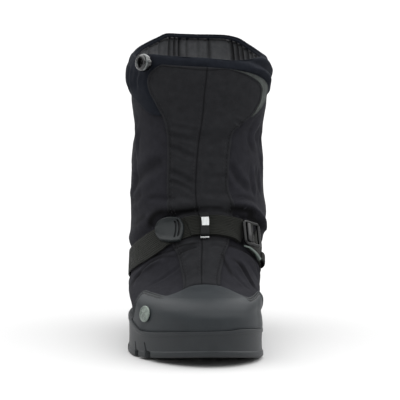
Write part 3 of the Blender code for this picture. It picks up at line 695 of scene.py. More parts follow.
def cloth(name, dark, light, pitch, relief, sheen, gloss, roughness=0.82):
    """Woven cloth: crossed threads, uneven dye and a soft sheen."""
    material, tree, shader = fresh(name, roughness, Sheen_Weight=sheen, Sheen_Roughness=0.45,
                                   Sheen_Tint=(0.9, 0.9, 1, 1), Specular_IOR_Level=gloss)
    weave = combine(tree, "MULTIPLY", threads(tree, pitch, "X"), threads(tree, pitch, "Y"))
    slubs = speckle(tree, 1400)
    colour(tree, shader, both(tree, speckle(tree, 140, 3), 0.55, slubs), dark, light)
    roughen(tree, shader, combine(tree, "ADD", weave, combine(tree, "MULTIPLY", slubs, 0.8)), relief)
    return material


def moulded(name, dark, light, roughness, grain=0.00008, scale=1600, coat=0, gloss=0.5):
    """Moulded rubber or plastic: fine grain, faint clouds and a slightly uneven polish."""
    material, tree, shader = fresh(name, roughness, Coat_Weight=coat, Coat_Roughness=0.12,
                                   Specular_IOR_Level=gloss)
    clouds = speckle(tree, 45, 4)
    fine = speckle(tree, scale)
    colour(tree, shader, both(tree, clouds, 0.7, fine), dark, light)
    uneven = combine(tree, "ADD", combine(tree, "MULTIPLY", clouds, 0.14), roughness - 0.07)
    tree.links.new(uneven, shader.inputs["Roughness"])
    roughen(tree, shader, fine, grain)
    return material


def ribbed(name, dark, light, pitch):
    """Webbing: ribs along its length, crossed by fine threads."""
    material, tree, shader = fresh(name, 0.75, Sheen_Weight=0.03, Sheen_Roughness=0.4, Specular_IOR_Level=0.2)
    rib = threads(tree, pitch, "Y")
    cross = threads(tree, 0.7, "X")
    slubs = speckle(tree, 1100)
    colour(tree, shader, both(tree, rib, 0.4, slubs), dark, light)
    roughen(tree, shader, combine(tree, "ADD", rib, combine(tree, "MULTIPLY", cross, 0.7)), 0.00025)
    return material


NYLON = cloth("nylon_cloth", (0.011, 0.011, 0.0136), (0.0192, 0.0191, 0.0236), 0.75, 0.00012, 0.012, 0.07)
FLAP_CLOTH = cloth("flap_cloth", (0.0114, 0.0117, 0.0132), (0.0198, 0.0203, 0.0224), 0.75, 0.00012, 0.012,
                   0.07)
BAND_CLOTH = cloth("band_cloth_navy", (0.0064, 0.0078, 0.0114), (0.0116, 0.0136, 0.0186), 0.6, 0.0001, 0.012,
                   0.06)
LINING_CLOTH = cloth("lining_cloth", (0.085, 0.088, 0.093), (0.145, 0.149, 0.156), 0.55, 0.0001, 0.1, 0.2)
LOOP_PILE = cloth("loop_pile", (0.02, 0.024, 0.021), (0.062, 0.072, 0.062), 1.3, 0.0004, 0.15, 0.2, 0.95)
FELT = cloth("felt", (0.02, 0.02, 0.022), (0.045, 0.045, 0.047), 1.1, 0.0003, 0.3, 0.2, 0.95)
STRAP_THREAD = cloth("strap_thread", (0.018, 0.021, 0.017), (0.034, 0.038, 0.03), 0.4, 0.00005, 0.03, 0.2)
THREAD = cloth("seam_thread", (0.008, 0.008, 0.009), (0.016, 0.016, 0.018), 0.4, 0.00005, 0.03, 0.2)
SOLE_RUBBER = moulded("sole_rubber_dressed", (0.0108, 0.0131, 0.0152), (0.0186, 0.0219, 0.0246), 0.5,
                      gloss=0.36)
CAP_RUBBER = moulded("cap_rubber_dressed", (0.0118, 0.015, 0.0176), (0.0188, 0.023, 0.0264), 0.52,
                     gloss=0.3)
TAB_RUBBER = moulded("tab_rubber_dressed", (0.0046, 0.007, 0.0078), (0.008, 0.0112, 0.0122), 0.46,
                     gloss=0.28)
SMOOTH = 0.00001  # grain of plastic and metal, in metres
BLACK_PLASTIC = moulded("black_plastic_dressed", (0.0014, 0.0017, 0.0019), (0.003, 0.0034, 0.0036), 0.2,
                        SMOOTH, 700, gloss=0.3)
LOCK_PLASTIC = moulded("cord_lock_plastic", (0.003, 0.0034, 0.0036), (0.006, 0.0066, 0.007), 0.12, SMOOTH,
                       700, 0.5)
# Painted highlight: the light ring on the cord lock stands for the glints round its rim.
LOCK_RIM_HIGHLIGHT = moulded("cord_lock_rim_highlight", (0.03, 0.036, 0.036), (0.1, 0.11, 0.11), 0.14, SMOOTH, 420,
                     0.9)
# Painted highlight: the light lip beside the buckle stands for the glint on its lower rail.
RAIL_HIGHLIGHT_PLASTIC = moulded("rail_highlight_plastic", (0.07, 0.092, 0.082), (0.12, 0.15, 0.135), 0.3, SMOOTH, 700)
KEEPER_PLASTIC = moulded("keeper_plastic", (0.0016, 0.0022, 0.0024), (0.0034, 0.0042, 0.0044), 0.46, SMOOTH,
                         700, gloss=0.14)
# Painted highlight: the light plastic of the keeper's inlay and foot stands for reflections.
KEEPER_HIGHLIGHT_PLASTIC = moulded("keeper_highlight_plastic", (0.62, 0.64, 0.64), (0.8, 0.82, 0.82), 0.3, SMOOTH)
BADGE_METAL = moulded("badge_metal_dressed", (0.08, 0.1, 0.088), (0.2, 0.24, 0.21), 0.34, SMOOTH, 420)
RIB_PITCH = 1.75
WEBBING = ribbed("webbing_dressed", (0.0042, 0.0047, 0.0036), (0.0104, 0.0112, 0.0084), RIB_PITCH)


# ---------------- sole and insole
SoleRing = namedtuple("SoleRing", "share height inset")
SOLE_RINGS = table(
    SoleRing,
    (0, 0, 1.6), (0, 0.15, 0.9), (0, 0.6, 0.35), (0, 1.3, 0), (0, 3.2, 0.05), (0, 5, 0.15), (0, 5.5, 0.35),
    (0, 5.9, 0.8), (0, 6.4, 1.2), (0.15, 5.6, 1.4), (0.45, 3, 1.5), (0.75, -0.5, 1.35), (1, -4.6, 1.25),
    (1, -4.1, 1.05), (1, -3.6, 0.6), (1, -3.1, 0.4), (1, -1, 0.4), (1, -0.4, 0.55), (1, -0.05, 0.9),
    (1, 0, 1.4),
)
CUP_SHARES = (0.99, 0.8, 0.5, 0.2, 0)
LUG_DEPTH = 6.2
GROOVE_WIDTH = 5
RIB_HALF = 9
OUTER_GROOVES = (-118.5, -97.5, -57, -38, -18, 75, 104, 131)
INNER_GROOVES = (-90, -68, -46, -24, 75, 104, 131)
GROOVE_SLANT = 8
ARCH_FRONT = -2
ARCH_BACK = 58
NOTCH_HEIGHT = 13.5
NOTCH_OPENING = 6.2


def side_x(y, side):
    """Where the sole's plan crosses a place along the foot, on one side."""
    turns = side * np.linspace(5, 175, 341)
    points = on_sole(turns, 0, 0)
    return points[np.argmin(np.abs(points[:, 1] - y)), 0]


def wedge(points, faces, middle, half_length, bottom, top, height, heading=0, low=-1.5, lean=0):
    """Add one groove's shape: wide where it opens at the tread and narrower where it ends."""
    start = len(points)
    along = Vector((math.cos(heading), math.sin(heading), 0))
    across = Vector((-along.y, along.x, 0))
    for z, half, back in ((low, bottom / 2, 0), (height, top / 2, lean)):
        for end, side in ((-1, -1), (1, -1), (1, 1), (-1, 1)):
            corner = Vector(middle) + along * end * half_length + across * side * half
            points.append((corner.x, corner.y + back, corner.z + z))
    quads = ((0, 3, 2, 1), (4, 5, 6, 7), (0, 1, 5, 4), (1, 2, 6, 5), (2, 3, 7, 6), (3, 0, 4, 7))
    faces += [tuple(start + index for index in quad) for quad in quads]


def carve(piece, points, faces):
    """Take a shape out of a piece for good."""
    mesh = bpy.data.meshes.new("cutter")
    mesh.from_pydata([tuple(value * MM for value in point) for point in points], [], faces)
    shape = placed("cutter", mesh)
    modifier = piece.modifiers.new("carve", "BOOLEAN")
    modifier.operation, modifier.solver, modifier.object = "DIFFERENCE", "EXACT", shape
    carved = bpy.data.meshes.new_from_object(piece.evaluated_get(bpy.context.evaluated_depsgraph_get()))
    piece.modifiers.clear()
    piece.data = carved
    bpy.data.objects.remove(shape, do_unlink=True)


def groove_shapes():
    """The tread's side grooves and arch recess, the notches in the wall, the slits behind them, fine cuts."""
    treads, notches, slits, cuts = ([], []), ([], []), ([], []), ([], [])
    slant = math.radians(GROOVE_SLANT)
    for side, grooves in ((-1, OUTER_GROOVES), (1, INNER_GROOVES)):
        for y in grooves:
            edge = abs(side_x(y, side))
            half = (edge - RIB_HALF) / 2 + 6
            lift = spring(y)
            middle = (side * (RIB_HALF + half), y + half * math.sin(slant), lift)
            wedge(*treads, middle, half, GROOVE_WIDTH + 1, GROOVE_WIDTH - 1.5, LUG_DEPTH, -side * slant)
            wall = side_x(y, side) + side * 3
            wedge(*notches, (wall, y, lift), 6, GROOVE_WIDTH + 4.4, GROOVE_WIDTH + 3.2, NOTCH_OPENING)
            wedge(*slits, (wall, y + 4.2, lift), 6, 3.4, 2.2, NOTCH_HEIGHT, 0, NOTCH_OPENING - 1.5, 4)
            for step in (10, 15.5):
                place = (side * (RIB_HALF + edge) / 2, y + step + half * math.sin(slant), spring(y + step))
                wedge(*cuts, place, (edge - RIB_HALF) / 2 - 5, 1.2, 1, 1.6, -side * slant)
    length = ARCH_BACK - ARCH_FRONT
    wedge(*treads, (0, (ARCH_FRONT + ARCH_BACK) / 2, 0), 90, length, length - 14, LUG_DEPTH)
    return treads, notches, slits, cuts


def filled(name, rings, material, slot, **more):
    """A closed form whose first and last rings are filled by shrinking copies of themselves."""
    count, first, last = len(rings[0]), rings[0], rings[-1]
    spines = [ring * (0, 1, 1) + (ring + np.roll(ring[::-1], 1, 0)) / 2 * (1, 0, 0)
              for ring in (first, last)]
    inner = [first * (1 - share) + spines[0] * share for share in (0.995, 0.6, 0.25)]
    outer = [last * (1 - share) + spines[1] * share for share in (0.25, 0.6, 0.995)]
    rings = np.stack((*inner, *rings, *outer))
    half = count // 2
    caps = []
    for start in (0, (len(rings) - 1) * count):
        caps += [(start + index, start + (index + 1) % count, start + (count - index - 1) % count,
                  start + (count - index) % count) for index in range(1, half - 1)]
        caps += [(start, start + 1, start + count - 1), (start + half - 1, start + half, start + half + 1)]
    faces = ring_quads(len(rings), count, False, True).tolist() + caps
    return add_piece(name, rings, faces, material, slot, **more)


def build_sole():
    """Rubber sole with its tread, its stepped wall and the cup that holds the upper."""
    turns = np.arange(-180.0, 180.0, 1.5)
    rings = [on_sole(turns, ring.share * rim_height(turns) + ring.height, ring.inset) for ring in SOLE_RINGS]
    for share in CUP_SHARES:
        z = FLOOR_HEIGHT + (rim_height(turns) - FLOOR_HEIGHT) * share
        points = on_upper(turns, np.maximum(z, UPPER_BOTTOM), LAY)
        points[:, 2] = z + spring(points[:, 1])
        rings.append(points)
    sole = filled("sole_dressed", rings, SOLE_RUBBER, "sole_rubber", replaces=("outsole",))
    for points, faces in groove_shapes():
        carve(sole, points, faces)
    sole.data.shade_smooth()
    sole.data.set_sharp_from_angle(angle=math.radians(32))


# Rings of the insole from its underside to its middle: height and inset.
INSOLE_RINGS = ((0.2, 1.2), (0, 0.9), (1.5, 0.3), (3.2, 0.3), (3.9, 0.9), (4.4, 3), (3.7, 9), (3.4, 18))


def build_insole():
    """Felt insole on the floor of the upper."""
    turns = np.arange(-180.0, 180.0, 3.0)
    rings = []
    for height, inset in INSOLE_RINGS:
        points = on_upper(turns, UPPER_BOTTOM + 0.1 + height, -WALL - LAY - inset)
        points[:, 2] = UPPER_BOTTOM + height + spring(points[:, 1])
        rings.append(points)
    filled("insole_dressed", rings, FELT, "insole_felt", replaces=("insole",))


# ---------------- the cloth body
CLOTH = 1.2
BAND_OVERLAP = 14
ROUND_MM = 1.28  # millimetres to a degree of turn, in the maps of the hoops


def cloth_shares(count):
    """Rows from the bottom to the top of the cloth, closer together over the slope of the vamp."""
    even = np.linspace(0, 1, 400)
    dense = np.cumsum(1 + 2.2 * np.exp(-((even - 0.17) / 0.12) ** 2))
    return np.interp(np.linspace(dense[0], dense[-1], count), dense, even)


def two_sided(name, turns, z, near, far, material, shade, far_shade, **more):
    """A hoop of cloth: a fine near side and a coarser far side, which takes every third row downwards."""
    uv = np.stack((np.concatenate((turns, turns[::-3])) * ROUND_MM, np.concatenate((z, z[::-3]))), -1)
    shades = np.concatenate((shade.ravel(), np.full(far.size // 3, far_shade)))
    hoop(name, np.concatenate((near, far)), material, "nylon", uv, shade=shades, **more)


def build_cloth():
    """Outer cloth of the upper, from inside the sole's cup to under the collar band."""
    turns = np.arange(-180.0, 180.0, 1.0)[None, :]
    low, high = rim_height(turns) - 8, band_bottom(turns) + BAND_OVERLAP
    z = low + (high - low) * cloth_shares(175)[:, None]
    turns = np.broadcast_to(turns, z.shape)
    outside = dressed(turns, z)
    inside = dressed(turns[::-3], z[::-3], -CLOTH)
    # Painted shade in the creases' troughs and painted light on their ridges, over the lines of painted
    # shade.
    crease_shading = np.clip(-crease_depths(face(turns, z), SHAFT_CREASES + VAMP_CREASES) / 2.2, -0.5, 1)
    shade = 1 - (1 - shade_of(outside).reshape(z.shape)) * (1 - 0.3 * crease_shading)
    two_sided("cloth_body", turns, z, outside, inside, NYLON, shade, 0, replaces=("upper",))


Pleat = namedtuple("Pleat", "turn width depth length")
PLEATS = table(
    Pleat,
    (-166, 1.5, 2.6, 60), (-162, 1.3, 2.4, 50), (-157.5, 1.4, 2.2, 60), (-172, 1.3, 1.4, 30),
    (-148, 1.6, 1, 30), (-136, 2, 1, 30), (171, 1.6, 1.8, 40), (179, 1.5, 0.8, 20), (151, 1.6, 2.8, 60),
    (146, 1.6, 2.6, 60), (141, 1.5, 2.4, 55), (134, 1.8, 2, 50), (126, 1.6, 1.4, 40), (116, 2, 1.2, 40),
    (96, 2.2, 1.2, 40), (-116, 2.2, 1.2, 40), (-92, 2.4, 1.2, 40), (60, 2.4, 1, 40), (20, 2.4, 1, 40),
    (-30, 2.4, 1, 40),
)
LINING_TOP = 286.2
RIM_SHADE = 0.85


def pleats(turn, z):
    """Each pleat, with how many widths places lie beside it and how far it has faded there."""
    for pleat in PLEATS:
        fade = ease((z - (UPPER_TOP - 12 - pleat.length)) / (0.6 * pleat.length))
        yield pleat, wrap(turn - pleat.turn) / pleat.width, fade


def build_lining():
    """Lining from the insole to the collar's rim."""
    turns = np.arange(-180.0, 180.0, 1.0)[None, :]
    z = np.concatenate((np.linspace(UPPER_BOTTOM + 5.5, 90, 40), np.linspace(91.5, 206, 78),
                        np.linspace(208, LINING_TOP, 62)))[:, None]
    turns, z = np.broadcast_arrays(turns, z)
    move = folds(turns, z) + 0.5 * noise(face(turns, z), 15)
    drawn_in = sum(pleat.depth * fade * (bead(side, 1.4, 0.9) - 0.8 * bead(side, 0, 1))
                   for pleat, side, fade in pleats(turns, z))
    inside = on_upper(turns, z, -WALL - 1.3 + np.minimum(move, 0.6) - drawn_in * 0.9)
    outside = on_upper(turns, z, -CLOTH - 1.1 + np.minimum(move, 0.6))[::-3]
    # Painted shade: darker towards the top edge and in each pleat's trough, and on the hidden far side.
    clear = 1 - RIM_SHADE * ease((z - LINING_TOP + 3.2) / 2.4)
    for pleat, side, fade in pleats(turns, z):
        clear = clear * (1 - 0.32 * pleat.depth * fade * bead(side, 0, 0.9))
    two_sided("lining", turns, z, inside, outside, LINING_CLOTH, 1 - clear, RIM_SHADE)


COLLAR_CREASES = table(
    Crease,
    (24, 282, 50, 275, 80, 246, 4.4, -2.4), (33, 273, 54, 263, 72, 240, 3.2, 2.2),
    (44, 262, 58, 250, 68, 236, 3.4, -1.4), (38, 284, 64, 278, 92, 258, 3.2, 2),
    (56, 287, 78, 279, 104, 258, 4.4, -1.6), (84, 284, 100, 270, 112, 246, 4, 1.6),
    (-52, 274, -58, 262, -56, 246, 3.4, 1.6), (-62, 282, -68, 264, -64, 240, 3.6, -1.6),
    (-74, 282, -78, 262, -72, 242, 3.2, 1.7), (-88, 284, -92, 264, -84, 244, 4.2, -1.4),
    (-104, 282, -104, 264, -98, 246, 3.6, 1.5), (-122, 284, -120, 264, -112, 244, 4.6, 1.3),
    (-142, 286, -140, 266, -134, 246, 4.6, 1.3), (-164, 286, -160, 266, -158, 244, 4.6, 1.2),
    (130, 284, 134, 264, 138, 246, 4.4, 1.4), (150, 286, 154, 266, 158, 246, 4.6, 1.3),
    (172, 286, 176, 266, 178, 244, 4.6, 1.2), (-38, 284, -10, 279, 18, 281, 2.6, 0.8),
)
RIM_RADIUS = 3.1


def under_flap(turn, z):
    """1 where the flap or the tape lies over the cuff, 0 away from them."""
    outer, inner = flap_edges(z)
    inner = np.maximum(inner, tape_edges(z)[1])
    across = ease((turn - outer + 5) / 5) * ease((inner + 5 - turn) / 5)
    return across * (1 - ease((z - 277) / 6))


def build_band():
    """Padded cuff: up the outside, over a rolled rim and down inside."""
    turns = np.arange(-180.0, 180.0, 1.0)
    bottom = band_bottom(turns)
    rings, heights = [], []
    gathers = 0.3 * np.sin(np.radians(turns * 96)) * (0.4 + 0.6 * ease((np.abs(turns) - 95) / 20))

    def ring(z, out, crease_share, gather_share, swell=0):
        """Add one ring of the cuff, with shares of its creases and gathers."""
        z = np.broadcast_to(z, turns.shape)
        plain = face(turns, z)
        depth = (crease_depths(plain, COLLAR_CREASES) + 0.35 * noise(plain, 14)) * crease_share + swell
        depth = depth * (1 - under_flap(turns, z)) + gathers * gather_share
        rings.append(on_upper(turns, z, out + depth))
        heights.append(z)

    thick = LAY + BAND_THICKNESS
    for share in np.linspace(0, 1, 64):
        z = bottom + (UPPER_TOP - RIM_RADIUS - bottom) * share
        swell = 1.5 * max(math.sin(math.pi * share), 0) ** 0.8
        full = rounded(z - bottom, 4, 0.1)
        out = LAY - 0.2 + (thick - LAY + 0.2) * full
        ring(z, out, ease(share * 6), ease((share - 0.86) / 0.12), swell * full)
    middle = (thick - WALL - 0.9) / 2
    half = (thick + WALL + 0.9) / 2
    for angle in np.radians(np.linspace(12, 168, 12)):
        out = middle + half * math.cos(angle)
        ring(UPPER_TOP - RIM_RADIUS + (RIM_RADIUS + 0.8) * math.sin(angle), out, 0.8, 1)
    low = UPPER_TOP - RIM_RADIUS
    for row in ((low - 1, -WALL - 0.5, 0.5, 0.6), (low - 2.2, -1.3, 0.2, 0.2), (279, -0.2, 0, 0),
                (262, 0.35, 0, 0)):
        ring(*row)
    uv = np.stack((np.broadcast_to(turns, (len(rings), len(turns))) * ROUND_MM, np.stack(heights)), -1)
    cuff = hoop("collar_cuff", np.stack(rings), BAND_CLOTH, "band_cloth", uv, replaces=("collar_band",))


# ---------------- toe cap, flap and tape
RIM_GAP = -0.9


def cap_bottom(turn):
    """Height of the cap's lower edge, a little below the sole's rim, before the toe lifts."""
    rim = rim_height(turn)
    return rim + RIM_GAP + spring(on_sole(turn, rim, 0)[..., 1]) - spring(face(turn, rim)[..., 1])


def cap_lay(turn):
    """How far the cap stands off the upper."""
    return CAP_LAY + WING_LIFT * ease((np.abs(turn) - 43) / 7)


def build_cap():
    """Rubber cap with two fine ridges along the top of each wing."""
    turn = (CAP_START + (CAP_END - CAP_START) * spread(190, 0.4))[None, :]
    low, high = cap_bottom(turn), read(CAP_TOP, turn)
    turn, z = np.broadcast_arrays(turn, low + (high - low) * spread(95, 0.65)[:, None])
    row, from_top, _, _ = edge_distance(face(turn, z))
    wing = ease((np.abs(turn) - 27) / 9) * (1 - ease((np.abs(turn) - 60) / 10))
    ridges = 0.55 * bead(from_top, 1.4, 0.9) + 0.45 * bead(from_top, 5.1, 0.9)
    relief = wing * (ridges - 0.75 * bead(from_top, 3.3, 0.75) - 0.6 * bead(from_top, 7, 0.75))
    relief = relief + 0.25 * bead(row, 1, 0.8) - 0.7 * (1 - ease(row / 3.5))
    # Painted shade in the grooves between the ridges on each wing.
    shade = wing * (0.85 * bead(from_top, 3.2, 0.9) + 0.8 * bead(from_top, 6.9, 0.8))
    laid("cap_dressed", turn, z, cap_lay(turn), CAP_THICKNESS, CAP_RUBBER, "cap_rubber", cover=on_upper,
         edge=0.5, relief=relief, shade=shade, replaces=("toe_cap",))


SeamRow = namedtuple("SeamRow", "z turn")
FLAP_SEAM = table(
    SeamRow,
    (71, -5.6), (85, -3), (101, 0), (118, -1.2), (133, -2.4), (153, -3.1), (193, -1.7), (223, 0.8),
    (253, 2.4), (280, 4.6),
)
TURN_MM = 1.25
PINK_PITCH = 3.1
PINK_DEPTH = 1.3
HEM = 3.4


def flap_seam(z):
    """Turn of the seam down the middle of the flap."""
    return read(FLAP_SEAM, z, "turn")


def build_flap():
    """Front strip and flap: hemmed edges, a seam down the middle and a pinked edge beside the tape."""
    rows = np.linspace(71, 262, 205), 262 + 17.5 * np.linspace(0, 1, 34)[1:] ** 0.8
    z = np.concatenate(rows)[:, None]
    outer, inner = flap_edges(z)
    phase = np.abs((z / PINK_PITCH) % 1 * 2 - 1) - 0.5
    inner = inner + PINK_DEPTH * phase * ease((z - 222) / 8) * ease((272 - z) / 8)
    seam = flap_seam(z)
    left, right = spread(58)[None, :], spread(62)[None, 1:]
    turn = np.concatenate((outer + (seam - outer) * left, seam + (inner - seam) * right), 1)
    turn, z = np.broadcast_arrays(turn, z)
    z = z + (read(CAP_TOP, turn) + 1.2 - 71) * (1 - ease((z - 71) / 12))
    _, top, from_outer, from_inner = edge_distance(face(turn, z))
    side = (turn - flap_seam(z)) * TURN_MM
    hems = np.minimum(np.minimum(from_outer, from_inner), top)
    relief = -0.75 * bead(side, 0, 0.6) + 0.3 * bead(side, 1.6, 1) - 0.4 * bead(hems, HEM, 0.55)
    relief = relief + 0.3 * (1 - ease((hems - HEM + 1.2) / 1.2)) + 0.12 * noise(face(turn, z), 5)
    relief = relief * np.clip(hems / 1.5, 0, 1)
    lift = FLAP_THICKNESS + LAY
    # Painted shade from the lines of shade, deeper in the middle seam and in the hems' grooves.
    shade = shade_of(dressed(turn, z, lift), lift).reshape(z.shape)
    shade = 1 - (1 - shade) * (1 - 0.45 * bead(side, 0, 0.7)) * (1 - 0.3 * bead(hems, HEM, 0.7))
    laid("flap_dressed", turn, z, over_band(turn, z), FLAP_THICKNESS, FLAP_CLOTH, "nylon", edge=0.9,
         relief=relief, shade=shade, replaces=("front_flap",))


def tape_edges(z):
    """The tape's turns beside the flap's inner edge."""
    share = np.clip((z - TAPE_BOTTOM) / (FLAP_ROWS[-1].z - TAPE_BOTTOM), 0, 1)
    near = flap_edges(z)[1] + 1.3
    return near, near + 1.2 + TAPE_TURNS * np.sin(math.pi * share) ** 0.8


def build_tape():
    """Crescent of loop tape beside the flap."""
    z = np.linspace(TAPE_BOTTOM + 0.5, FLAP_ROWS[-1].z, 90)[:, None]
    near, far = tape_edges(z)
    turn, z = np.broadcast_arrays(near + (far - near) * spread(28)[None, :], z)
    from_far = edge_distance(face(turn, z))[3]
    relief = 0.45 * bead(from_far, 0.9, 0.8) + 0.16 * noise(face(turn, z), 1.6)
    laid("tape_dressed", turn, z, over_band(turn, z) - 0.1, TAPE_THICKNESS, LOOP_PILE, "loop_tape",
         edge=0.6, relief=relief, replaces=("loop_tape",))


# ---------------- strap and its fittings
STATIONS_PER_TURN = 1.9


def strap_step(turn, reach=1):
    """The step along the strap's middle line from before a turn to after it."""
    before, after = turn - reach, turn + reach
    return face(after, strap_middle(after)) - face(before, strap_middle(before))


def strap_place(turn, across):
    """Turn and height of points beside the strap's middle line."""
    turn, across = level(turn, across)
    z = strap_middle(turn)
    side = np.cross(away_from(turn, z), unit(strap_step(turn)))
    round_step = face(turn + 1, z) - face(turn - 1, z)
    slide = np.sum(side * round_step, -1) / np.sum(round_step ** 2, -1)
    return turn + 2 * slide * across, z + side[..., 2] * across


def build_webbing(name, start, end, layer, node):
    """A length of the strap; layer counts the layers of webbing under it."""
    stations = np.linspace(start, end, round((end - start) * STATIONS_PER_TURN))[None, :]
    across = (spread(66, 0.25)[:, None] - 0.5) * WEBBING_WIDTH
    turn, z = strap_place(stations, across)
    near = np.min(edge_distance(face(turn, z))[:2], 0)
    inner = ease(near - 0.6)
    relief = 0.16 * inner * np.cos(2 * math.pi * across / RIB_PITCH) + 0.1 * noise(face(turn, z), 9)
    under = over_flap(turn, z) + layer * (WEBBING_THICKNESS + LAY)
    # Painted shadow where the webbing runs under the buckle; elsewhere it is darker along both long edges.
    lock = ease((stations - BUCKLE_TURN + 9.5) / 3.5) * ease((BUCKLE_TURN + 9 - stations) / 3)
    shade = 0.9 * lock + 0.5 * (1 - ease(near / 1.2)) * (1 - lock)
    laid(name, turn, z, under, WEBBING_THICKNESS, WEBBING, "webbing", cover=on_upper, edge=0.7,
         relief=relief, shade=shade, replaces=(node,))


def build_tab():
    """Rubber pull tab: raised rim, two curved slots beside its bowed end and a knurled lower edge."""
    share, side = spread(110, 0.6)[None, :], (spread(84, 0.6)[:, None] * 2 - 1)
    knurl = 0.4 * np.abs((share * 17) % 1 * 2 - 1) * ease((-side - 0.8) / 0.2)
    knurl = knurl * ease(share * 9) * ease((0.7 - share) / 0.1)
    turn = TAB_TIP + (TAB_END - TAB_BOW * side ** 2 - TAB_TIP) * share
    z = read(TAB_ROWS, share, "middle") + side * (read(TAB_ROWS, share, "half") + knurl)
    distances = edge_distance(face(turn, z))
    row, _, column, column_end = distances
    near = np.min(distances, 0)
    relief = 0.6 * bead(near, 1.5, 1) - 0.35 * ease((near - 2.6) / 4)
    # Painted shade in the two slots, on top of their depth.
    shade = np.zeros(z.shape)
    for middle, low, high in ((4, -0.62, 0.8), (7.3, -0.7, 0.66)):
        slot = (1 - ease((np.abs(column_end - middle) - 0.55) / 0.6)) * ease((side - low) / 0.08)
        slot = slot * ease((high - side) / 0.08)
        relief, shade = relief - 1.8 * slot, np.maximum(shade, 0.97 * slot)
    grip = bead(row, 1.4, 1.4) * ease((column - 2) / 4) * ease((0.7 - share) / 0.1)
    relief = relief + 0.3 * grip * np.sin(2 * math.pi * column / 1.9)
    under = over_flap(turn, z) + WEBBING_THICKNESS + LAY
    laid("tab_dressed", turn, z, under, TAB_THICKNESS - 0.5, TAB_RUBBER, "tab_rubber", cover=on_upper,
         edge=1.2, relief=relief, shade=shade, replaces=("strap_tab",))


def bar(path, sides, outs, section, closed=False):
    """A solid bar along a path; section gives its cross-section as steps to the side and outwards."""
    points = path[:, None] + sides[:, None] * section[..., :1] + outs[:, None] * section[..., 1:]
    return points.reshape(-1, 3), tube_faces(len(path), section.shape[-2], closed)


def soft_section(width, height, power=4, count=20):
    """A rounded rectangle as a cross-section."""
    angles = around(count)
    x, y = np.cos(angles), np.sin(angles)
    return np.stack((np.sign(x) * np.abs(x) ** (2 / power) * width / 2,
                     np.sign(y) * np.abs(y) ** (2 / power) * height / 2), -1)


def keeper_course(half, top):
    """Steps across the strap and away from it along the middle of the keeper, foot to foot."""
    left = [(-half, out) for out in np.linspace(0.3, top - KEEPER_CORNER, 4)]
    left += [(-half + KEEPER_CORNER * (1 - math.cos(angle)), top - KEEPER_CORNER * (1 - math.sin(angle)))
             for angle in np.linspace(0, math.pi / 2, 7)]
    flat = [(across, top + 0.35 * math.cos(across / half * math.pi / 2))
            for across in np.linspace(-half + 2.4, half - 2.4, 16)]
    return np.array(left + flat + [(-across, out) for across, out in reversed(left)])


def build_keeper():
    """Staple over both layers of webbing; a light inlay on its face and a light foot are painted highlights.
    """
    half = WEBBING_WIDTH / 2 + 1.4
    top = 2 * (WEBBING_THICKNESS + LAY) + 1
    across, out = keeper_course(half, top).T
    middle = (KEEPER_START + KEEPER_END) / 2
    turn, z = strap_place(np.full(len(across), middle), across)
    path = on_upper(turn, z, over_flap(turn, z) + out)
    along = np.broadcast_to(unit(strap_step(middle)), path.shape)
    outs = np.cross(along, unit(np.gradient(path, axis=0)))
    staple = bar(path, along, outs, soft_section(KEEPER_WIDTH, KEEPER_THICKNESS))
    joined("keeper_dressed", [staple], KEEPER_PLASTIC, "black_plastic", replaces=("strap_keeper",))
    # The inlay and the foot are painted highlights; painted shade darkens the grooves between the inlay's
    # ribs.
    for name, low, high, first, last, out, thickness, ribs in (
            ("keeper_highlight_inlay", -2.4, 8.2, KEEPER_START + 0.9, KEEPER_END - 0.3, top + 0.9, 0.5, 0.5),
            ("keeper_highlight_foot", -half - 1.6, -half + 0.4, KEEPER_START - 0.1, KEEPER_END + 0.2, 1.2, 1.4, 0)):
        turn, z = strap_place(np.linspace(first, last, 44)[None, :], np.linspace(low, high, 26)[:, None])
        across = edge_distance(face(turn, z))[2]
        shade = ribs * (0.5 - 0.5 * np.cos(2 * math.pi * across / 1.15)) ** 2
        under = over_flap(turn, z) + out
        laid(name, turn, z, under, thickness, KEEPER_HIGHLIGHT_PLASTIC, "black_plastic", cover=on_upper, edge=0.5,
             relief=-0.3 * shade, shade=shade)


def seat(turn, z, out, roll=0):
    """Axes of a small piece on the upper: X round the shoe, Y up the face, Z away from it."""
    away = Vector(away_from(turn, z))
    along = Vector(face(turn + 0.4, z) - face(turn - 0.4, z))
    along = (along - away * along.dot(away)).normalized()
    axes = Matrix((along, away.cross(along), away)).transposed().to_4x4()
    axes.translation = Vector(on_upper(turn, z, out)) * MM
    return axes @ Matrix.Rotation(roll, 4, "Z")


def joined(name, shells, material, slot, axes=None, smooth_angle=40, **more):
    """One piece from several closed shells, set in its axes if it has any."""
    points, faces = [], []
    for shell_points, shell_faces in shells:
        start = len(points)
        points += [tuple(point) for point in shell_points]
        faces += [tuple(start + index for index in corners) for corners in shell_faces]
    if axes is not None:
        points = [tuple(axes @ (Vector(point) * MM) / MM) for point in points]
    add_piece(name, points, faces, material, slot, smooth_angle=smooth_angle, **more)


def tube(path, radius, closed=False, sides=10, flat=1):
    """A round bar along a path of points, as a closed shell."""
    path = np.asarray(path, float)
    step = np.roll(path, -1, 0) - np.roll(path, 1, 0) if closed else np.gradient(path, axis=0)
    side = unit(np.cross(unit(step), (0, 0, 1)))
    angles = around(sides)
    radius = np.broadcast_to(radius, len(path))[:, None]
    section = np.stack((np.cos(angles) * radius, np.sin(angles) * radius * flat), -1)
    return bar(path, side, np.cross(side, unit(step)), section, closed)


def lathe(profile, sides=40):
    """A turned closed shell from rows of radius and height."""
    angles = around(sides)
    points = [(radius * math.cos(angle), radius * math.sin(angle), height) for radius, height in profile
              for angle in angles]
    return points, tube_faces(len(profile), sides)


BLOCK_EDGE = 0.5


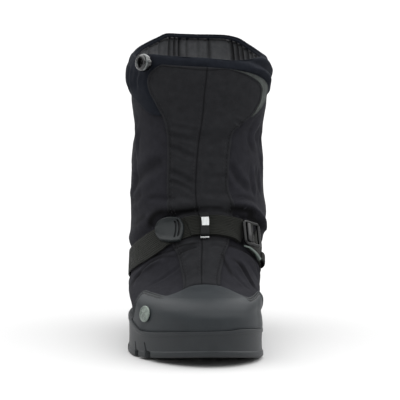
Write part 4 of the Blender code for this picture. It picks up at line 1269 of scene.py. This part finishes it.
def block(low, high):
    """A softly edged block as a closed shell."""
    middle, half = (np.array(low) + high) / 2, (np.array(high) - low) / 2
    section = soft_section(2 * half[0], 2 * half[1], 6, 24)
    tall = half[2]
    rows = [(-tall, BLOCK_EDGE), (-tall + BLOCK_EDGE, 0), (tall - BLOCK_EDGE, 0), (tall, BLOCK_EDGE)]
    points = [(middle[0] + x * (1 - inset / half[0]), middle[1] + y * (1 - inset / half[1]), middle[2] + z)
              for z, inset in rows for x, y in section]
    return points, tube_faces(len(rows), len(section))


BUCKLE_LENGTH = 25
BUCKLE_WIDTH = 25.5
BUCKLE_ROLL = 14
BUCKLE_RISE = 1
BUCKLE_THICKNESS = 3.6
BUCKLE_BAR = 3.2
BUCKLE_CORNER = 2.4


BUCKLE_BAR_RADIUS = 1.5
# The light lip beside the buckle, a painted highlight, and the strap's curled tail, as turn and height.
RAIL_HIGHLIGHT_LINE = table(Turned, (37.5, 98), (44.25, 95.5), (52.125, 90), (60, 83.5))
TAIL_LINE = table(Turned, (64, 86), (74, 77))
TAIL_WIDTH = 11
TAIL_THICKNESS = 1.8


def buckle_axes():
    """Axes of the buckle, turned to follow the strap."""
    slope = strap_step(BUCKLE_TURN, 4)
    roll = math.atan2(slope[2], math.hypot(slope[0], slope[1])) + math.radians(BUCKLE_ROLL)
    out = LAY + 2 * (WEBBING_THICKNESS + LAY) + BUCKLE_RISE
    return seat(BUCKLE_TURN, strap_middle(BUCKLE_TURN), out, roll)


def straight(line, count):
    """Turns and heights of places along straight lines between a table's rows."""
    turn = np.linspace(line[0].turn, line[-1].turn, count)
    return turn, np.interp(turn, *zip(*line))


def build_buckle():
    """Ladder lock: a rounded frame with a middle bar, a plate and a light lip that is a painted highlight."""
    axes = buckle_axes()
    radius = BUCKLE_BAR / 2
    x, y = (size / 2 - radius - BUCKLE_CORNER for size in (BUCKLE_LENGTH, BUCKLE_WIDTH))
    loop = []
    for corner_x, corner_y, start in ((x, y, 0), (-x, y, 90), (-x, -y, 180), (x, -y, 270)):
        for angle in np.radians(start + np.linspace(0, 90, 7)):
            step_x, step_y = BUCKLE_CORNER * math.cos(angle), BUCKLE_CORNER * math.sin(angle)
            loop.append((corner_x + step_x, corner_y + step_y, BUCKLE_THICKNESS / 2))
    inside = BUCKLE_WIDTH / 2 - BUCKLE_BAR + 0.4
    middle_bar = [(0, across, BUCKLE_THICKNESS / 2) for across in np.linspace(-inside, inside, 8)]
    shells = [tube(loop, radius, closed=True, sides=14, flat=1.1),
              tube(middle_bar, BUCKLE_BAR_RADIUS, sides=14, flat=1.1)]
    joined("buckle_dressed", shells, BLACK_PLASTIC, "black_plastic", axes, replaces=("ladder_lock",))
    plate = block((-8.2, -inside + 0.3, 2.6), (-2.2, inside - 0.3, 4.4))
    joined("buckle_plate", [plate], BLACK_PLASTIC, "black_plastic", axes)
    # The light lip is a painted highlight along the buckle's lower rail.
    turn, z = straight(RAIL_HIGHLIGHT_LINE, 14)
    lip = tube(on_upper(turn, z, over_flap(turn, z) + 3.2), np.linspace(0.8, 1.8, 14), sides=12)
    joined("buckle_rail_highlight", [lip], RAIL_HIGHLIGHT_PLASTIC, "black_plastic")


def build_strap_end():
    """The strap's turn round the buckle's bar and its curled tail."""
    half = WEBBING_WIDTH / 2 - 0.4
    turn_back = [(-0.2, across, 1.1) for across in np.linspace(-half, half, 30)]
    joined("strap_turn", [tube(turn_back, 2.3, sides=16)], WEBBING, "webbing", buckle_axes())
    turn, z = straight(TAIL_LINE, 16)
    curl = 1.6 + 3.6 * np.sin(math.pi * np.linspace(0.12, 1, 16)) ** 0.8
    path = on_upper(turn, z, over_flap(turn, z) + curl)
    tangent = unit(np.gradient(path, axis=0))
    sides = unit(np.cross(tangent, away_from(turn, z)))
    tail = bar(path, sides, np.cross(sides, tangent), soft_section(TAIL_WIDTH, TAIL_THICKNESS))
    joined("strap_tail", [tail], WEBBING, "webbing")


# ---------------- round trim
BADGE_TURN = -43
BADGE_HEIGHT = 42
BADGE_RADIUS = 8
BADGE_STRETCH = 1.2
BADGE_OUT = 0.6
LOCK_TURN = -44.5
LOCK_HEIGHT = 281
LOCK_OUT = 0.1
# Turned profiles, as radius and height.
BADGE_PROFILE = ((7.5, -0.4), (8, 0), (8, 0.9), (7.7, 1.3), (7.2, 1.45), (6.7, 1.25), (6.4, 0.8),
                 (5.8, 0.85), (4.6, 1.15), (3, 1.4), (1.2, 1.5), (0.3, 1.52))
LOCK_BARREL = ((6.2, 0), (7.7, 1), (8.5, 2.9), (8.6, 5.5), (8.1, 7.9), (7.3, 9.5), (6.2, 10.2), (5.4, 10.1),
               (4.8, 9.4), (4.5, 7.7), (4.3, 5.5), (0.2, 5.3))
LOCK_BUTTON = ((0.2, 0), (2.6, 0.4), (3.9, 1.8), (4.2, 3.6), (3.6, 5.4), (2.2, 6.4), (0.2, 6.7))


def petal(x, y):
    """A plain five-leaf relief on the face of the badge."""
    reach = math.hypot(x, y)
    inside = float(ease(reach / 1.5) * (1 - ease((reach - BADGE_RADIUS + 2.6) / 1.2)))
    return 0.45 * inside * math.cos(5 * math.atan2(y, x) + 0.6)


def build_badge():
    """Plain badge, a little longer round the shoe than it is tall: a raised ring round a low dome."""
    axes = seat(BADGE_TURN, BADGE_HEIGHT, CAP_LAY + CAP_THICKNESS + BADGE_OUT)
    points, faces = lathe(BADGE_PROFILE, 56)
    points = [(x * BADGE_STRETCH, y, z + petal(x, y)) for x, y, z in points]
    joined("badge_dressed", [(points, faces)], BADGE_METAL, "badge_metal", axes, replaces=("badge_disc",))


def build_cord_lock():
    """Cord lock: a ringed barrel with a bore, and its button; the light ring is a painted highlight."""
    axes = seat(LOCK_TURN, LOCK_HEIGHT, LAY + BAND_THICKNESS + LOCK_OUT)
    ring = [(2.2 + 8 * math.cos(angle), 0.4 + 7.1 * math.sin(angle), 8.1 + 0.9 * math.cos(2 * angle))
            for angle in around(48)]
    points, faces = lathe(LOCK_BUTTON, 30)
    button = [(x + 8, y - 0.5, z + 2.2) for x, y, z in points], faces
    axes = axes @ Matrix.Translation((1.8 * MM, -1.8 * MM, 0))
    joined("cord_lock_dressed", [lathe(LOCK_BARREL, 48), button], LOCK_PLASTIC, "black_plastic", axes,
           replaces=("cord_lock",))
    joined("cord_lock_highlight_ring", [tube(ring, 1.2, closed=True, sides=12)], LOCK_RIM_HIGHLIGHT, "black_plastic", axes)


# ---------------- stitches
STITCH = 2.6
STITCH_GAP = 1.3
STITCH_RADIUS = 0.32
STITCH_STATIONS = STITCH * np.array((0, 0.14, 0.5, 0.86, 1))
STITCH_RADII = STITCH_RADIUS * np.array((0.35, 0.85, 1, 0.85, 0.35))
STITCH_SIDES = 6


def stitches(name, runs, material=THREAD):
    """Rows of small stitches; each run is an array of points on a surface."""
    angles = around(STITCH_SIDES)
    section = np.stack((np.cos(angles) * STITCH_RADII[:, None], np.sin(angles) * STITCH_RADII[:, None]), -1)
    shells = []
    for run in runs:
        lengths = np.concatenate(([0], np.cumsum(np.linalg.norm(np.diff(run, axis=0), axis=1))))
        for index in range(int(lengths[-1] / (STITCH + STITCH_GAP))):
            stations = index * (STITCH + STITCH_GAP) + STITCH_GAP / 2 + STITCH_STATIONS
            path = np.stack([np.interp(stations, lengths, run[:, axis]) for axis in range(3)], -1)
            tangent = unit(path[-1:] - path[:1])
            side = unit(np.cross(tangent, (0.13, -0.31, 0.94)))
            shells.append(bar(path, side, np.cross(side, tangent), section))
    joined(name, shells, material, "nylon", smooth_angle=None)


def build_stitches():
    """Seams of the flap and the cuff, and the sewn end of the strap."""
    z = np.linspace(73, 277, 260)
    outer, inner = flap_edges(z)
    over = over_band(outer, z) + FLAP_THICKNESS + 0.05
    near, far = HEM / TURN_MM, (HEM + 3) / TURN_MM
    runs = [dressed(outer + near, z, over - 0.2), dressed(outer + far, z, over)]
    low = z < 226
    over = over_band(inner, z) + FLAP_THICKNESS + 0.05
    runs.append(dressed(inner[low] - near, z[low], over[low] - 0.2))
    runs.append(dressed(inner[low] - far, z[low], over[low]))
    for side in (-2.4, 2.4):
        turn = flap_seam(z) + side / TURN_MM
        runs.append(dressed(turn, z, over_band(turn, z) + FLAP_THICKNESS + 0.05))
    stitches("flap_stitches", runs)
    sides = np.linspace(-180, -46, 170), np.linspace(56, 180, 150)
    out = LAY + BAND_THICKNESS + 0.2
    stitches("cuff_stitches", [on_upper(turns, band_bottom(turns) + 3.2, out) for turns in sides])
    wide, start, end = 9.2, -66, -58
    corners = (-wide, start), (wide, start), (wide, end), (-wide, end), (-wide, start), (wide, end)
    sewn = []
    for (across_a, turn_a), (across_b, turn_b) in zip(corners, corners[1:]):
        turn, height = strap_place(np.linspace(turn_a, turn_b, 12), np.linspace(across_a, across_b, 12))
        sewn.append(on_upper(turn, height, over_flap(turn, height) + WEBBING_THICKNESS + 0.12))
    stitches("strap_stitches", sewn, STRAP_THREAD)


# ---------------- stage
FLOOR_BRIGHTNESS = 0.59
SKY_STRENGTH = 0.5
SUN_STRENGTH = 4.25
SUN_ANGLE = 125
CAMERA_AZIMUTH = -1.5
CAMERA_ELEVATION = 8
CAMERA_DISTANCE = 6
CAMERA_LENS = 547
CAMERA_AIM = (0.00015, 0, 0.1412)


def add_light(name, kind, place, target, **settings):
    """A light that points from its place to its target."""
    light = bpy.data.lights.new(name, kind)
    for key, value in settings.items():
        setattr(light, key, value)
    lamp = placed(name, light)
    lamp.location = place
    lamp.rotation_euler = (target - Vector(place)).to_track_quat("-Z", "Y").to_euler()


def build_floor():
    """Pale floor that stays out of the part."""
    mesh = bpy.data.meshes.new("floor")
    mesh.from_pydata([(-8, -8, 0), (8, -8, 0), (8, 8, 0), (-8, 8, 0)], [], [(0, 1, 2, 3)])
    floor = placed("floor", mesh)
    paper, _, shader = fresh("floor_paper", 0.9)
    shader.inputs["Base Color"].default_value = (*[FLOOR_BRIGHTNESS] * 3, 1)
    mesh.materials.append(paper)


def build_lights():
    """White surroundings, a wide soft sun and a soft light on either side."""
    world = bpy.data.worlds.new("world")
    world.use_nodes = True
    sky = world.node_tree.nodes["Background"].inputs
    sky["Color"].default_value, sky["Strength"].default_value = (1, 1, 1, 1), SKY_STRENGTH
    bpy.context.scene.world = world
    middle = Vector((0, 0, 0.15))
    for name, x, energy in (("light_left", -3.8, 12), ("light_right", 3.8, 16)):
        add_light(name, "AREA", (x, 0.6, 1.45), middle, shape="RECTANGLE", size=2, size_y=3.2, energy=energy)
    add_light("light_top", "SUN", (0.1, 0.1, 1.3), middle, energy=SUN_STRENGTH, angle=math.radians(SUN_ANGLE))


def build_camera():
    """Camera at the photograph's viewing angle, far off and level with the middle of the shoe."""
    azimuth, elevation = math.radians(CAMERA_AZIMUTH), math.radians(CAMERA_ELEVATION)
    back = Vector((math.sin(azimuth) * math.cos(elevation), -math.cos(azimuth) * math.cos(elevation),
                   math.sin(elevation)))
    data = bpy.data.cameras.new("camera")
    data.lens, data.sensor_width = CAMERA_LENS, 36
    data.clip_start, data.clip_end = 0.1, 60
    camera = placed("camera", data)
    camera.location = Vector(CAMERA_AIM) + back * CAMERA_DISTANCE
    camera.rotation_euler = (-back).to_track_quat("-Z", "Y").to_euler()
    bpy.context.scene.camera = camera
    bpy.context.scene.view_settings.view_transform = "Standard"


build_sole()
build_insole()
build_cloth()
build_lining()
build_band()
build_cap()
build_flap()
build_tape()
build_webbing("instep_dressed", -STRAP_END, STRAP_TURN, 0, "instep_strap")
build_webbing("return_dressed", RETURN_START, STRAP_TURN, 1, "strap_return")
build_webbing("anchor_dressed", ANCHOR_START, STRAP_END, 0, "anchor_strap")
build_tab()
build_keeper()
build_buckle()
build_strap_end()
build_badge()
build_cord_lock()
build_stitches()
build_floor()
build_lights()
build_camera()
